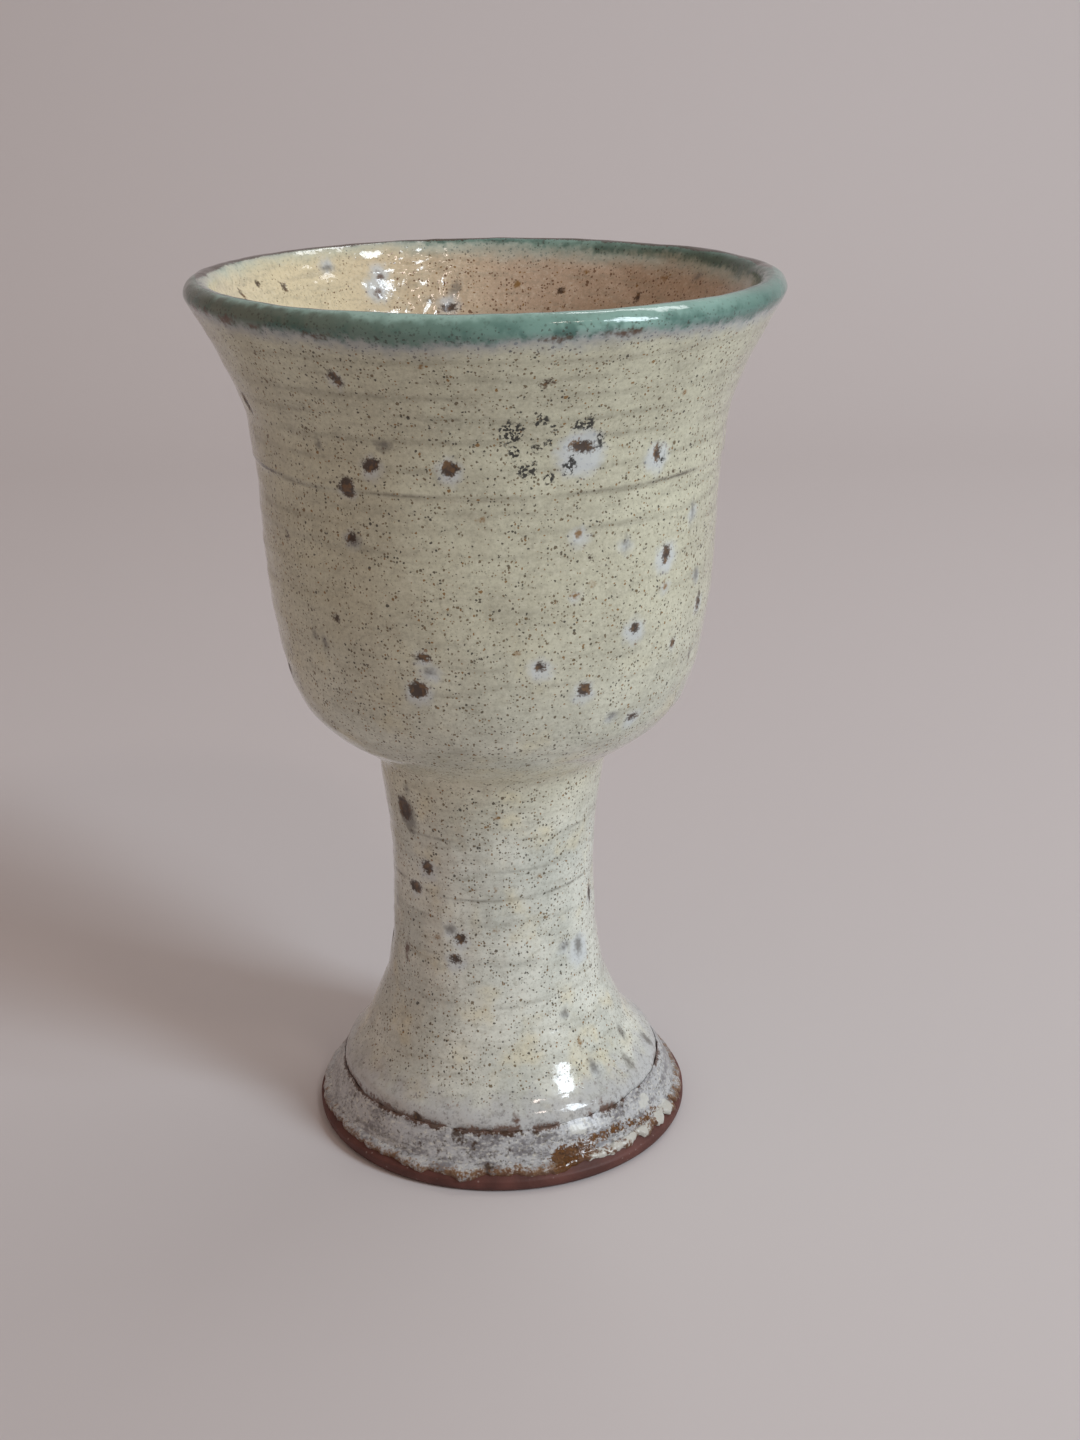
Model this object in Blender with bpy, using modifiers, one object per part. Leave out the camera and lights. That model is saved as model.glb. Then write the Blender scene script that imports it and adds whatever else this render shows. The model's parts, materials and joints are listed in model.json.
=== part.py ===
"""Wheel-thrown stoneware goblet: a thrown bowl luted to a thrown hollow stem, under five coats of glaze.

Metres, +Z up. The origin is on the axis, in the plane that the foot stands on.
Every outline is a list of (radius, height) points, and is turned about the Z axis.
"""

import math

import bmesh
import bpy
from mathutils import Vector

MM = 0.001

# Heights of the clay, stacked upwards from the plane that the foot stands on
SKIRT_HEIGHT = 10.4 * MM
STEM_FLARE_HEIGHT = 39.6 * MM
STEM_NECK_HEIGHT = 24.6 * MM
CUP_HEIGHT = 55.8 * MM
RIM_FLARE_HEIGHT = 27.2 * MM

# Outside radii of the clay
FOOT_RADIUS = 35.5 * MM
SKIRT_TOP_RADIUS = 30.1 * MM
STEM_BASE_RADIUS = 29.9 * MM
WAIST_RADIUS = 18.0 * MM
STEM_TOP_RADIUS = 20.3 * MM
BOWL_RADIUS = 39.75 * MM
RIM_RADIUS = 50.0 * MM

# Walls and floor of the clay
BOWL_WALL = 4.0 * MM
BOWL_FLOOR = 5.5 * MM
LIP_THICKNESS = 3.1 * MM
STEM_WALL = 4.6 * MM
FOOT_RING_WIDTH = 5.0 * MM

# Small tooled features
FOOT_EDGE_WIDTH = 1.4 * MM
FOOT_EDGE_HEIGHT = 2.3 * MM
FOOT_INNER_CHAMFER = 0.7 * MM
GROOVE_WIDTH = 1.2 * MM
GROOVE_DEPTH = 0.5 * MM
THROWING_LEDGE = 0.4 * MM
THROWING_LEDGE_HEIGHT = 0.6 * MM

# The slip that lutes the stem to the bowl, and the bead of it squeezed into the hollow stem
SLIP_THICKNESS = 1.0 * MM
SLIP_BEAD = 1.0 * MM

# Glaze coats, and the clearance that keeps neighbouring solids apart
COAT_THICKNESS = 0.6 * MM
FIT_GAP = 0.3 * MM

# Where the coats end: heights above the foot, or down from the lip's centre, and how far they waver.
# A coat is the same at every angle until this share of the waver before its edge.
BARE_FOOT_HEIGHT = 3.3 * MM
FOOT_EDGE_WAVER = 0.4 * MM
GREEN_DEPTH_OUTSIDE = 2.6 * MM
GREEN_DEPTH_INSIDE = 3.4 * MM
GREEN_EDGE_WAVER = 0.6 * MM
STEADY_SHARE = 1.5

# How each stretch curves: (share of its height, share of the way between its two radii)
STEM_FLARE_CURVE = (
    (0, 0),
    (0.05, 0.193),
    (0.155, 0.454),
    (0.274, 0.62),
    (0.43, 0.835),
    (0.69, 0.962),
    (1, 1),
)
STEM_NECK_CURVE = ((0, 0), (0.4, 0.17), (0.74, 0.63), (1, 1))
CUP_CURVE = (
    (0, 0),
    (0.065, 0.25),
    (0.13, 0.515),
    (0.2, 0.695),
    (0.27, 0.785),
    (0.35, 0.843),
    (0.565, 0.94),
    (1, 1),
)
CUP_INSIDE_CURVE = (
    (0, 0),
    (0.005, 0.385),
    (0.06, 0.728),
    (0.14, 0.838),
    (0.26, 0.912),
    (0.5, 0.967),
    (1, 1),
)
RIM_FLARE_CURVE = ((0, 0), (0.285, 0.07), (0.585, 0.4), (0.825, 0.715), (1, 1))
SKIRT_CURVE = ((0, 0), (0.15, 0.24), (0.23, 0.43), (0.49, 0.61), (0.76, 0.79), (1, 1))

# A coat's wavering edge is the sum of these: (waves around the goblet, share of the waver, phase)
WAVES = ((2, 0.4, 0.6), (5, 0.35, 2.1), (9, 0.25, 4.0))
OUTER_PHASE = 0.0
INNER_PHASE = 1.3
FOOT_PHASE = 2.6

TURN_STEPS = 48
LIP_STEPS = 6
FOOT_EDGE_STEPS = 3

# Points nearer than this, to each other or to the axis, are one point
SAME_POINT = 0.01 * MM

# Levels that follow from the sizes above
JOINT_LEVEL = SKIRT_HEIGHT + STEM_FLARE_HEIGHT + STEM_NECK_HEIGHT
STEM_TOP_LEVEL = JOINT_LEVEL - SLIP_THICKNESS - 2 * FIT_GAP
FLOOR_LEVEL = JOINT_LEVEL + BOWL_FLOOR
LEDGE_LEVEL = JOINT_LEVEL + CUP_HEIGHT
LIP_LEVEL = LEDGE_LEVEL + RIM_FLARE_HEIGHT
COAT_RISE = FIT_GAP + COAT_THICKNESS

CLAY_COLOUR = (0.13, 0.036, 0.024)
SLIP_COLOUR = (0.2, 0.07, 0.045)
CREAM_COLOUR = (0.56, 0.53, 0.38)
LINER_COLOUR = (0.6, 0.53, 0.36)
GREEN_COLOUR = (0.13, 0.27, 0.21)
SKIRT_COLOUR = (0.5, 0.5, 0.44)


def material(name, colour, roughness):
    """A ceramic finish: colour in linear RGB, no metal."""
    made = bpy.data.materials.new(name)
    made.use_nodes = True
    shader = made.node_tree.nodes["Principled BSDF"]
    shader.inputs["Base Color"].default_value = (*colour, 1.0)
    shader.inputs["Roughness"].default_value = roughness
    shader.inputs["Metallic"].default_value = 0.0
    made.diffuse_color = (*colour, 1.0)
    return made


def stretch(curve, low, high, radius_low, radius_high):
    """One stretch of an outline, from height low to height high."""
    points = []
    for along, across in curve:
        radius = radius_low + (radius_high - radius_low) * across
        points.append(Vector((radius, low + (high - low) * along)))
    return points


def arc(centre, radius_r, radius_z, start, end, steps):
    """Points on an ellipse about centre, from angle start to angle end in degrees."""
    points = []
    for step in range(steps + 1):
        angle = math.radians(start + (end - start) * step / steps)
        points.append(centre + Vector((radius_r * math.cos(angle), radius_z * math.sin(angle))))
    return points


def joined(*lines):
    """The lines end to end, with points that nearly coincide left out."""
    points = []
    for point in (p for line in lines for p in line):
        if not points or (point - points[-1]).length > 2 * SAME_POINT:
            points.append(point)
    return points


def cut(line, low, high):
    """The part of a rising or falling line between two heights, its ends on the line's straight pieces."""
    points = []
    for start, end in zip(line, line[1:]):
        rise = end.y - start.y
        if abs(rise) < 1e-9:
            continue
        shares = sorted((level - start.y) / rise for level in (low, high))
        enter = max(0.0, shares[0])
        leave = min(1.0, shares[1])
        if enter < leave:
            points += [start.lerp(end, enter), start.lerp(end, leave)]
    return joined(points)


def radius_at(line, level):
    """The radius of a rising or falling line at a height."""
    for start, end in zip(line, line[1:]):
        if min(start.y, end.y) <= level <= max(start.y, end.y) and start.y != end.y:
            return start.lerp(end, (level - start.y) / (end.y - start.y)).x
    return line[-1].x


def offset(line, distance):
    """The line moved to the left of its direction, with its straight pieces kept parallel.

    A point on the axis stays on the axis.
    """
    sides = []
    for start, end in zip(line, line[1:]):
        along = (end - start).normalized()
        sides.append(Vector((-along.y, along.x)))
    moved = []
    for index, point in enumerate(line):
        before = sides[max(index - 1, 0)]
        after = sides[min(index, len(sides) - 1)]
        target = point + (before + after) * distance / (1 + before.dot(after))
        if point.x < SAME_POINT:
            target.x = 0.0
        moved.append(target)
    return moved


def waver(angle, amount, phase):
    """How far a coat's edge strays at an angle around the goblet."""
    total = 0.0
    for count, share, shift in WAVES:
        total += share * math.sin(count * angle + shift + phase)
    return amount * total


def cut_down_to(line, edge, amount, stray, high):
    """A rising line's part above an edge that wavers by up to amount, and strays by stray here."""
    level = edge + stray
    steady = cut(line, edge + STEADY_SHARE * amount, high)
    return [Vector((radius_at(line, level), level)), *steady]


def cut_up_to(line, low, edge, amount, stray):
    """A rising line's part below an edge that wavers by up to amount, and strays by stray here."""
    level = edge + stray
    steady = cut(line, low, edge - STEADY_SHARE * amount)
    return [*steady, Vector((radius_at(line, level), level))]


def skirt_line():
    """Clay from the foot's widest circle up to the tooled groove."""
    top = SKIRT_HEIGHT - GROOVE_WIDTH / 2
    return stretch(SKIRT_CURVE, FOOT_EDGE_HEIGHT, top, FOOT_RADIUS, SKIRT_TOP_RADIUS)


def stem_line():
    """Clay outside the stem, from the groove to the plane of the joint."""
    low = SKIRT_HEIGHT + GROOVE_WIDTH / 2
    waist = SKIRT_HEIGHT + STEM_FLARE_HEIGHT
    flare = stretch(STEM_FLARE_CURVE, low, waist, STEM_BASE_RADIUS, WAIST_RADIUS)
    neck = stretch(STEM_NECK_CURVE, waist, JOINT_LEVEL, WAIST_RADIUS, STEM_TOP_RADIUS)
    return joined(flare, neck)


def stem_hollow_line():
    """Clay inside the hollow stem, from the foot ring up to the joint."""
    waist = SKIRT_HEIGHT + STEM_FLARE_HEIGHT
    ring_inside = FOOT_RADIUS - FOOT_EDGE_WIDTH - FOOT_RING_WIDTH
    waist_inside = WAIST_RADIUS - STEM_WALL
    top_inside = STEM_TOP_RADIUS - STEM_WALL
    flare = stretch(STEM_FLARE_CURVE, FOOT_INNER_CHAMFER, waist, ring_inside, waist_inside)
    neck = stretch(STEM_NECK_CURVE, waist, JOINT_LEVEL, waist_inside, top_inside)
    return joined(flare, neck)


def bowl_outside_line():
    """Clay outside the bowl, from the joint over the throwing ledge to the lip's centre."""
    low = LEDGE_LEVEL - THROWING_LEDGE_HEIGHT / 2
    high = LEDGE_LEVEL + THROWING_LEDGE_HEIGHT / 2
    cup = stretch(CUP_CURVE, JOINT_LEVEL, low, STEM_TOP_RADIUS, BOWL_RADIUS)
    flare = stretch(RIM_FLARE_CURVE, high, LIP_LEVEL, BOWL_RADIUS + THROWING_LEDGE, RIM_RADIUS)
    return joined(cup, flare)


def bowl_inside_line():
    """Clay inside the bowl, from the middle of the floor up to the lip's centre."""
    wall = BOWL_RADIUS - BOWL_WALL
    cup = stretch(CUP_INSIDE_CURVE, FLOOR_LEVEL, LEDGE_LEVEL, 0.0, wall)
    flare = stretch(RIM_FLARE_CURVE, LEDGE_LEVEL, LIP_LEVEL, wall, RIM_RADIUS - LIP_THICKNESS)
    return joined(cup, flare)


def lip_roll():
    """The half round over the lip, from inside to outside."""
    half = LIP_THICKNESS / 2
    return arc(Vector((RIM_RADIUS - half, LIP_LEVEL)), half, half, 180, 0, LIP_STEPS)


def bowl_outline():
    """The thrown bowl: up its inside, over the lip, down its outside and across the pad for the stem."""
    pad = Vector((0.0, JOINT_LEVEL))
    return joined(bowl_inside_line(), lip_roll(), reversed(bowl_outside_line()), [pad])


def stem_outline():
    """The thrown stem and foot, as a ring: down its outside, across the foot ring and up its hollow."""
    outside = cut(stem_line(), SKIRT_HEIGHT, STEM_TOP_LEVEL)
    inside = cut(stem_hollow_line(), 0.0, STEM_TOP_LEVEL)
    groove = [Vector((min(SKIRT_TOP_RADIUS, STEM_BASE_RADIUS) - GROOVE_DEPTH, SKIRT_HEIGHT))]
    foot_edge_centre = Vector((FOOT_RADIUS - FOOT_EDGE_WIDTH, FOOT_EDGE_HEIGHT))
    foot_edge = arc(foot_edge_centre, FOOT_EDGE_WIDTH, FOOT_EDGE_HEIGHT, 0, -90, FOOT_EDGE_STEPS)
    ring_inner = [Vector((inside[0].x + FOOT_INNER_CHAMFER, 0.0))]
    return joined(reversed(outside), groove, reversed(skirt_line()), foot_edge, ring_inner, inside)


def slip_outline():
    """The ring of slip between stem and bowl, with a round bead that was squeezed into the hollow."""
    low = STEM_TOP_LEVEL + FIT_GAP
    middle = low + SLIP_THICKNESS / 2
    outer = radius_at(stem_line(), low)
    inner = radius_at(stem_hollow_line(), low)
    outside = [Vector((outer, low + SLIP_THICKNESS)), Vector((outer, low))]
    bead = arc(Vector((inner, middle)), SLIP_BEAD, SLIP_THICKNESS / 2, 270, 90, FOOT_EDGE_STEPS)
    return joined(outside, bead)


def coat_outline(line):
    """A coat of glaze that lies off a clay line, which runs with the clay on its right."""
    return [*offset(line, COAT_RISE), *reversed(offset(line, FIT_GAP))]


def crease_level():
    """Where the stem's coat stops, just under the coat on the bowl's underside."""
    underside = offset(bowl_outside_line(), -COAT_RISE)
    return underside[0].y - FIT_GAP


def lip_glaze_outline(angle):
    """The green coat over the lip, from its inner edge to its outer edge."""
    amount = GREEN_EDGE_WAVER
    stray = waver(angle, amount, INNER_PHASE)
    inner = cut_down_to(bowl_inside_line(), LIP_LEVEL - GREEN_DEPTH_INSIDE, amount, stray, LIP_LEVEL)
    stray = waver(angle, amount, OUTER_PHASE)
    outer = cut_down_to(bowl_outside_line(), LIP_LEVEL - GREEN_DEPTH_OUTSIDE, amount, stray, LIP_LEVEL)
    return coat_outline(joined(inner, lip_roll(), reversed(outer)))


def bowl_glaze_outline(angle):
    """The cream coat outside the bowl, from the green edge down to the crease at the stem."""
    edge = LIP_LEVEL - GREEN_DEPTH_OUTSIDE - FIT_GAP
    stray = waver(angle, GREEN_EDGE_WAVER, OUTER_PHASE)
    line = cut_up_to(bowl_outside_line(), JOINT_LEVEL, edge, GREEN_EDGE_WAVER, stray)
    return coat_outline(line[::-1])


def liner_glaze_outline(angle):
    """The cream coat inside the bowl, from the middle of the floor up to the green edge."""
    edge = LIP_LEVEL - GREEN_DEPTH_INSIDE - FIT_GAP
    stray = waver(angle, GREEN_EDGE_WAVER, INNER_PHASE)
    line = cut_up_to(bowl_inside_line(), FLOOR_LEVEL, edge, GREEN_EDGE_WAVER, stray)
    return coat_outline(line)


def foot_glaze_outline(angle):
    """The coat on the skirt, from the groove down to the ragged line above the bare clay."""
    stray = waver(angle, FOOT_EDGE_WAVER, FOOT_PHASE)
    line = cut_down_to(skirt_line(), BARE_FOOT_HEIGHT, FOOT_EDGE_WAVER, stray, SKIRT_HEIGHT)
    return coat_outline(line[::-1])


def stem_glaze_outline():
    """The coat on the stem, from the crease down to the groove."""
    line = cut(stem_line(), SKIRT_HEIGHT, crease_level())
    return coat_outline(line[::-1])


def placed(name, mesh, finish, collection):
    """An object for a mesh, with its finish, in a collection."""
    mesh.materials.append(finish)
    made = bpy.data.objects.new(name, mesh)
    collection.objects.link(made)
    return made


def turned(name, outline, finish, collection):
    """A piece that is truly round: its outline with a Screw modifier."""
    closed = outline[0].x > SAME_POINT
    mesh = bpy.data.meshes.new(name)
    edges = [(index, index + 1) for index in range(len(outline) - 1)]
    if closed:
        edges.append((len(outline) - 1, 0))
    mesh.from_pydata([(point.x, 0.0, point.y) for point in outline], edges, [])
    made = placed(name, mesh, finish, collection)
    screw = made.modifiers.new("turn", "SCREW")
    screw.axis = "Z"
    screw.angle = math.tau
    screw.steps = TURN_STEPS
    screw.render_steps = TURN_STEPS
    screw.use_merge_vertices = True
    screw.merge_threshold = SAME_POINT
    screw.use_smooth_shade = True
    return made


def lofted(name, outline_at, finish, collection):
    """A coat whose edge wavers: one outline for each angle, skinned to the next one."""
    shape = bmesh.new()
    rings = []
    for step in range(TURN_STEPS):
        angle = math.tau * step / TURN_STEPS
        turn = Vector((math.cos(angle), math.sin(angle)))
        ring = [shape.verts.new((p.x * turn.x, p.x * turn.y, p.y)) for p in outline_at(angle)]
        rings.append(ring)
    for ring, following in zip(rings, rings[1:] + rings[:1]):
        for index in range(len(ring)):
            corners = (ring[index - 1], ring[index], following[index], following[index - 1])
            shape.faces.new(corners)
    bmesh.ops.remove_doubles(shape, verts=shape.verts, dist=SAME_POINT)
    bmesh.ops.recalc_face_normals(shape, faces=shape.faces)
    mesh = bpy.data.meshes.new(name)
    shape.to_mesh(mesh)
    shape.free()
    mesh.shade_smooth()
    return placed(name, mesh, finish, collection)


def build():
    for leftover in list(bpy.data.objects):
        bpy.data.objects.remove(leftover)
    goblet = bpy.data.collections.new("pottery_goblet")
    bpy.context.scene.collection.children.link(goblet)

    clay = material("fired_stoneware", CLAY_COLOUR, 0.7)
    slip = material("fired_slip", SLIP_COLOUR, 0.8)
    cream = material("cream_glaze", CREAM_COLOUR, 0.3)
    liner = material("warm_cream_glaze", LINER_COLOUR, 0.25)
    green = material("copper_green_glaze", GREEN_COLOUR, 0.15)
    skirt = material("crawled_white_glaze", SKIRT_COLOUR, 0.35)

    turned("bowl_body", bowl_outline(), clay, goblet)
    turned("stem_body", stem_outline(), clay, goblet)
    turned("slip_joint", slip_outline(), slip, goblet)
    turned("stem_glaze", stem_glaze_outline(), cream, goblet)
    lofted("bowl_glaze", bowl_glaze_outline, cream, goblet)
    lofted("liner_glaze", liner_glaze_outline, liner, goblet)
    lofted("lip_glaze", lip_glaze_outline, green, goblet)
    lofted("foot_glaze", foot_glaze_outline, skirt, goblet)


build()
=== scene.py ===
import functools
import json
import math

import bpy
import numpy as np
from mathutils import Matrix, Vector
from mathutils.bvhtree import BVHTree

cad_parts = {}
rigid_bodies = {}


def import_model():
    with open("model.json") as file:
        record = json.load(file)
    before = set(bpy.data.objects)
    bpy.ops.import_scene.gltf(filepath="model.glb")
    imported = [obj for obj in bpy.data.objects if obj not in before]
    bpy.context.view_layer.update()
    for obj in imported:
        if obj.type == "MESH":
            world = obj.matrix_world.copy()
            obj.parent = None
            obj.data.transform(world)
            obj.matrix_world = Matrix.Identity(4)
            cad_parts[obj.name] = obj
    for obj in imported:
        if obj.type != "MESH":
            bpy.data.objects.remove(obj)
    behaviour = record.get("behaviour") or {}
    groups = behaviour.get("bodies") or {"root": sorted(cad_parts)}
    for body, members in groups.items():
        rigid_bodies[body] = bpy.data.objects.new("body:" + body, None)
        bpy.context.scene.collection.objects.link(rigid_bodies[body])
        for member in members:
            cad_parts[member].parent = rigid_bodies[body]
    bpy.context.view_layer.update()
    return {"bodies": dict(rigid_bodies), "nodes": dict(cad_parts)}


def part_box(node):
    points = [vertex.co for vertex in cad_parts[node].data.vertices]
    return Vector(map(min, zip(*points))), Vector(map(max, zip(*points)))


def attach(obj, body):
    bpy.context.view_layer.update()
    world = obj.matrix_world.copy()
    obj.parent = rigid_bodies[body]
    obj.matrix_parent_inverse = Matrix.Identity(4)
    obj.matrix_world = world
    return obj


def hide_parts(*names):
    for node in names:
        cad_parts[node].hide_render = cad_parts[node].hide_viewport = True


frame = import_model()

bl_info = {
    "name": "Pottery goblet",
    "version": (1, 0, 0),
    "blender": (4, 5, 0),
    "location": "3D View > Sidebar > Goblet",
    "description": "Glazes, bare clay and stage of a wheel-thrown stoneware goblet",
    "category": "Object",
}

# Lengths below are in millimetres, heights are above the table, and azimuth is in degrees from
# the front of the goblet (-Y) towards its right (+X).
MM = 0.001
BODY = next(iter(frame["bodies"]))


def linear(code):
    """An sRGB hex colour as three linear values."""
    parts = [int(code[i : i + 2], 16) / 255 for i in (1, 3, 5)]
    return [c / 12.92 if c <= 0.04045 else ((c + 0.055) / 1.055) ** 2.4 for c in parts]


def rgba(colour):
    return (*colour, 1.0)


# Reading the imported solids

FEEL_ANGLE = math.radians(0.5)  # off the seam of the facets, where a ray could slip between two faces
FEEL_STEP = 0.5


@functools.cache
def solid_tree(node):
    mesh = frame["nodes"][node].data
    return BVHTree.FromPolygons([v.co for v in mesh.vertices], [p.vertices for p in mesh.polygons])


def felt(node, starts, aims):
    """Where rays in one upright half plane first meet a CAD node: (radius, height) pairs."""
    found = []
    for start, aim in zip(starts, aims):
        ends = [
            Vector((r * math.cos(FEEL_ANGLE), r * math.sin(FEEL_ANGLE), z)) * MM for r, z in (start, aim)
        ]
        hit = solid_tree(node).ray_cast(ends[0], (ends[1] - ends[0]).normalized())[0]
        if hit is not None:
            found.append((math.hypot(hit.x, hit.y) / MM, hit.z / MM))
    if not found:
        raise RuntimeError(f"no ray met {node}")
    return np.array(found)


def felt_from_outside(node, heights):
    return felt(node, [(90, z) for z in heights], [(0, z) for z in heights])


def felt_from_axis(node, heights):
    return felt(node, [(0, z) for z in heights], [(90, z) for z in heights])


def node_span(node):
    """A CAD node's lowest height, highest height and largest radius."""
    low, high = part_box(node)
    return low.z / MM, high.z / MM, high.x / MM


# Curves and grids

def even(points, step):
    """The polyline read again at even steps of its own length."""
    along = lengths_along(points)
    places = np.linspace(0, along[-1], max(2, round(along[-1] / step) + 1))
    return np.stack([np.interp(places, along, points[:, i]) for i in (0, 1)], axis=1)


def eased(points, reach, step=0.1):
    """The polyline with its corners eased over a length of about reach."""
    points = even(points, step)
    half = int(4 * reach / step)
    weights = np.exp(-0.5 * (np.arange(-half, half + 1) * step / reach) ** 2)
    weights /= weights.sum()
    ends = 2 * points[0] - points[half:0:-1], 2 * points[-1] - points[-2 : -half - 2 : -1]
    padded = np.concatenate([ends[0], points, ends[1]])
    return np.stack([np.convolve(padded[:, i], weights, "valid") for i in (0, 1)], axis=1)


def smooth_step(low, high, value):
    t = np.clip((value - low) / (high - low), 0, 1)
    return t * t * (3 - 2 * t)


def lengths_along(points):
    """The length along a polyline at each of its points."""
    return np.concatenate([[0], np.cumsum(np.hypot(*np.diff(points, axis=0).T))])


def turns(count):
    """One turn in that many even steps, in radians."""
    return np.arange(count) * math.tau / count


def from_front(degrees):
    """The azimuth brought between -180 and 180."""
    return (degrees + 180) % 360 - 180


def swells(shape, spacing, reach, seed):
    """Random swells over a grid that closes on itself around, with a spread of 1.

    The shape, spacing and reach are each given along the wall and around it.
    """
    rough = np.random.default_rng(seed).normal(size=shape)
    rates = [np.fft.fftfreq(n) / s * r for n, s, r in zip(shape, spacing, reach)]
    soft = np.exp(-2 * math.pi**2 * (rates[0][:, None] ** 2 + rates[1][None, :] ** 2))
    swell = np.fft.ifft2(np.fft.fft2(rough) * soft).real
    return swell / swell.std()


def ragged(ring, reach, seed):
    """One random line around a ring, with a spread of 1. A ring is its number of steps and their length."""
    return swells((1, ring[0]), (1, ring[1]), (0, reach), seed)


def normals_of(points):
    """Unit normals of a grid of rings, from the rings on either side and the steps on either side."""
    along = np.gradient(points, axis=0)
    across = np.roll(points, -1, axis=1) - np.roll(points, 1, axis=1)
    normals = np.cross(across, along)
    lengths = np.linalg.norm(normals, axis=2, keepdims=True)
    return normals / np.maximum(lengths, 1e-12)


def loop_normals(points):
    """Unit normals of a grid whose last ring joins its first."""
    return normals_of(np.concatenate([points[-1:], points, points[:1]]))[1:-1]


def turned_grid(outline, around):
    """The outline turned about Z: radius, height and angle grids."""
    radius = np.repeat(outline[:, :1], around, axis=1)
    height = np.repeat(outline[:, 1:], around, axis=1)
    return radius, height, turns(around)[None, :]


def placed(radius, height, angle):
    """Grid points in mm. Angle 0 is the front, and the stem's lean off the wheel's axis is added."""
    x = radius * np.sin(angle) + stem_lean(height)
    return np.stack([x, -radius * np.cos(angle), height + 0 * angle], axis=2)


def put(name, data):
    """An object with that mesh, lamp or camera, in the scene."""
    made = bpy.data.objects.new(name, data)
    bpy.context.scene.collection.objects.link(made)
    return made


def skin_object(name, rings, normals, fields, closed):
    """A mesh over a grid of rings.

    Closed joins the last ring to the first. Otherwise each end closes on a point.
    """
    count, around = rings.shape[:2]
    index = np.arange(count * around).reshape(count, around)
    here = index if closed else index[:-1]
    above = np.roll(index, -1, axis=0) if closed else index[1:]
    quads = np.stack([here, np.roll(here, -1, axis=1), np.roll(above, -1, axis=1), above], axis=2)
    faces = quads.reshape(-1, 4).tolist()
    points = rings.reshape(-1, 3)
    directions = normals.reshape(-1, 3)
    if not closed:
        points = np.concatenate([points, rings[0].mean(0)[None], rings[-1].mean(0)[None]])
        poles = [np.sign(normals[i].mean(0)[2]) * np.array([0, 0, 1.0]) for i in (0, -1)]
        directions = np.concatenate([directions, poles])
        first, last = count * around, count * around + 1
        faces += [(first, index[0, (j + 1) % around], index[0, j]) for j in range(around)]
        faces += [(last, index[-1, j], index[-1, (j + 1) % around]) for j in range(around)]
    mesh = bpy.data.meshes.new(name)
    mesh.from_pydata(points * MM, [], faces)
    for field, values in fields.items():
        data = values.reshape(-1)
        if not closed:
            data = np.concatenate([data, [values[0].mean(), values[-1].mean()]])
        mesh.attributes.new(field, "FLOAT", "POINT").data.foreach_set("value", data.astype(np.float32))
    mesh.shade_smooth()
    mesh.normals_split_custom_set_from_vertices(directions)
    return put(name, mesh)


def coat_object(name, wall, start, stop, thickness, closed=True):
    """The stretch of a wall between two rings as one coat of glaze, with a hidden back of fewer rings.

    A coat that isn't closed, such as the liner, goes on to the goblet's axis, where its faces end on
    a point each.
    """
    rows = slice(start, stop + 1)
    face, normals = wall["points"][rows], wall["normals"][rows]
    back = np.unique(np.append(np.arange(0, len(face), BACK_SPACING), len(face) - 1))[::-1]

    def both(front, behind):
        return np.concatenate([front, behind[back]] if closed else [behind[back], front])

    fields = {field: both(values[rows], values[rows]) for field, values in wall["fields"].items()}
    return skin_object(name, both(face, face - thickness * normals), both(normals, -normals), fields, closed)


# The thrown wall: one skin of glaze from the groove over the stem, bowl and lip to the bowl's floor

BACK_SPACING = 14
AROUND, AROUND_STEP = WALL_RING = 512, 0.49  # steps around the wall, and their length
STEM_STEP, BOWL_STEP, LIP_STEP, LINER_STEP = 0.45, 0.55, 0.25, 0.6
WALL_STEP = 0.5  # about the middle of these, for the swells that run over all the coats
LIP_RADIUS = 2.5
FLOOR_REACH = 29.0
STEM_LEAN, FOOT_LEAN = -0.45, 0.55
GREEN_OUTSIDE, GREEN_INSIDE = 4.9, 0.4  # how far the green runs down from the crest, before it wavers
LEDGE_HEIGHT = 130.2
LEDGE_STEP = 0.35
RING_PITCH, FINE_RING_PITCH = 6.4, 2.9
RING_DEPTH = 0.05
INNER_RING_DEPTH = 0.06
# Where the green ran further down the inside of the lip: azimuth, how far, and the half width in degrees.
GREEN_RUNS = ((170, 2.0, 18), (140, 2.2, 22), (112, 2.4, 22), (80, 2.2, 22), (50, 1.2, 20))
# The glaze blistered on the inside of the bowl, opposite this azimuth and this many degrees either way.
BLISTERS_AT, BLISTERS_WIDE, BLISTER_DEPTH = 15.0, 9.0, 0.24
# The iron and the crust sank into the glaze as they melted, and the pot is a little oval.
IRON_SUNK, CRUST_SUNK, OVAL = 0.16, 0.08, 0.1

HEM_HEIGHT, HEM_THICKNESS = 9.85, 0.66
# Where the stem's glaze ran over the wiped groove: azimuth, how fully, and the half width in degrees.
GROOVE_RUNS = (
    (8.5, 1, 1.6), (26, 1, 5), (-18, 0.55, 2), (35, 0.5, 1.2), (45, 0.6, 1.2), (53, 0.85, 4), (66, 0.8, 6),
    (100, 0.9, 8), (140, 1, 8), (-120, 0.9, 6), (-165, 0.8, 3), (-90, 0.5, 5),
)
# Where the clay's rust stained the glaze beside the groove: azimuth, how far, and the half width in degrees.
GROOVE_STAINS = (
    (-52, 0.1, 4), (-43, 0.25, 4), (-26, 0.3, 5), (-8, 0.15, 2.5), (1, 0.4, 3.2), (13, 0.25, 4),
    (18.5, 0.2, 2), (32, 0.3, 1), (40, 0.35, 3.5), (47, 0.4, 1), (120, 0.4, 6), (175, 0.3, 8),
    (-140, 0.4, 6), (-100, 0.3, 5),
)


def bumps_around(azimuth, bumps):
    """The sum of round bumps along the azimuth, each given by its middle, size and half width."""
    return sum(size * np.exp(-((from_front(azimuth - at) / half) ** 2)) for at, size, half in bumps)


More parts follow.
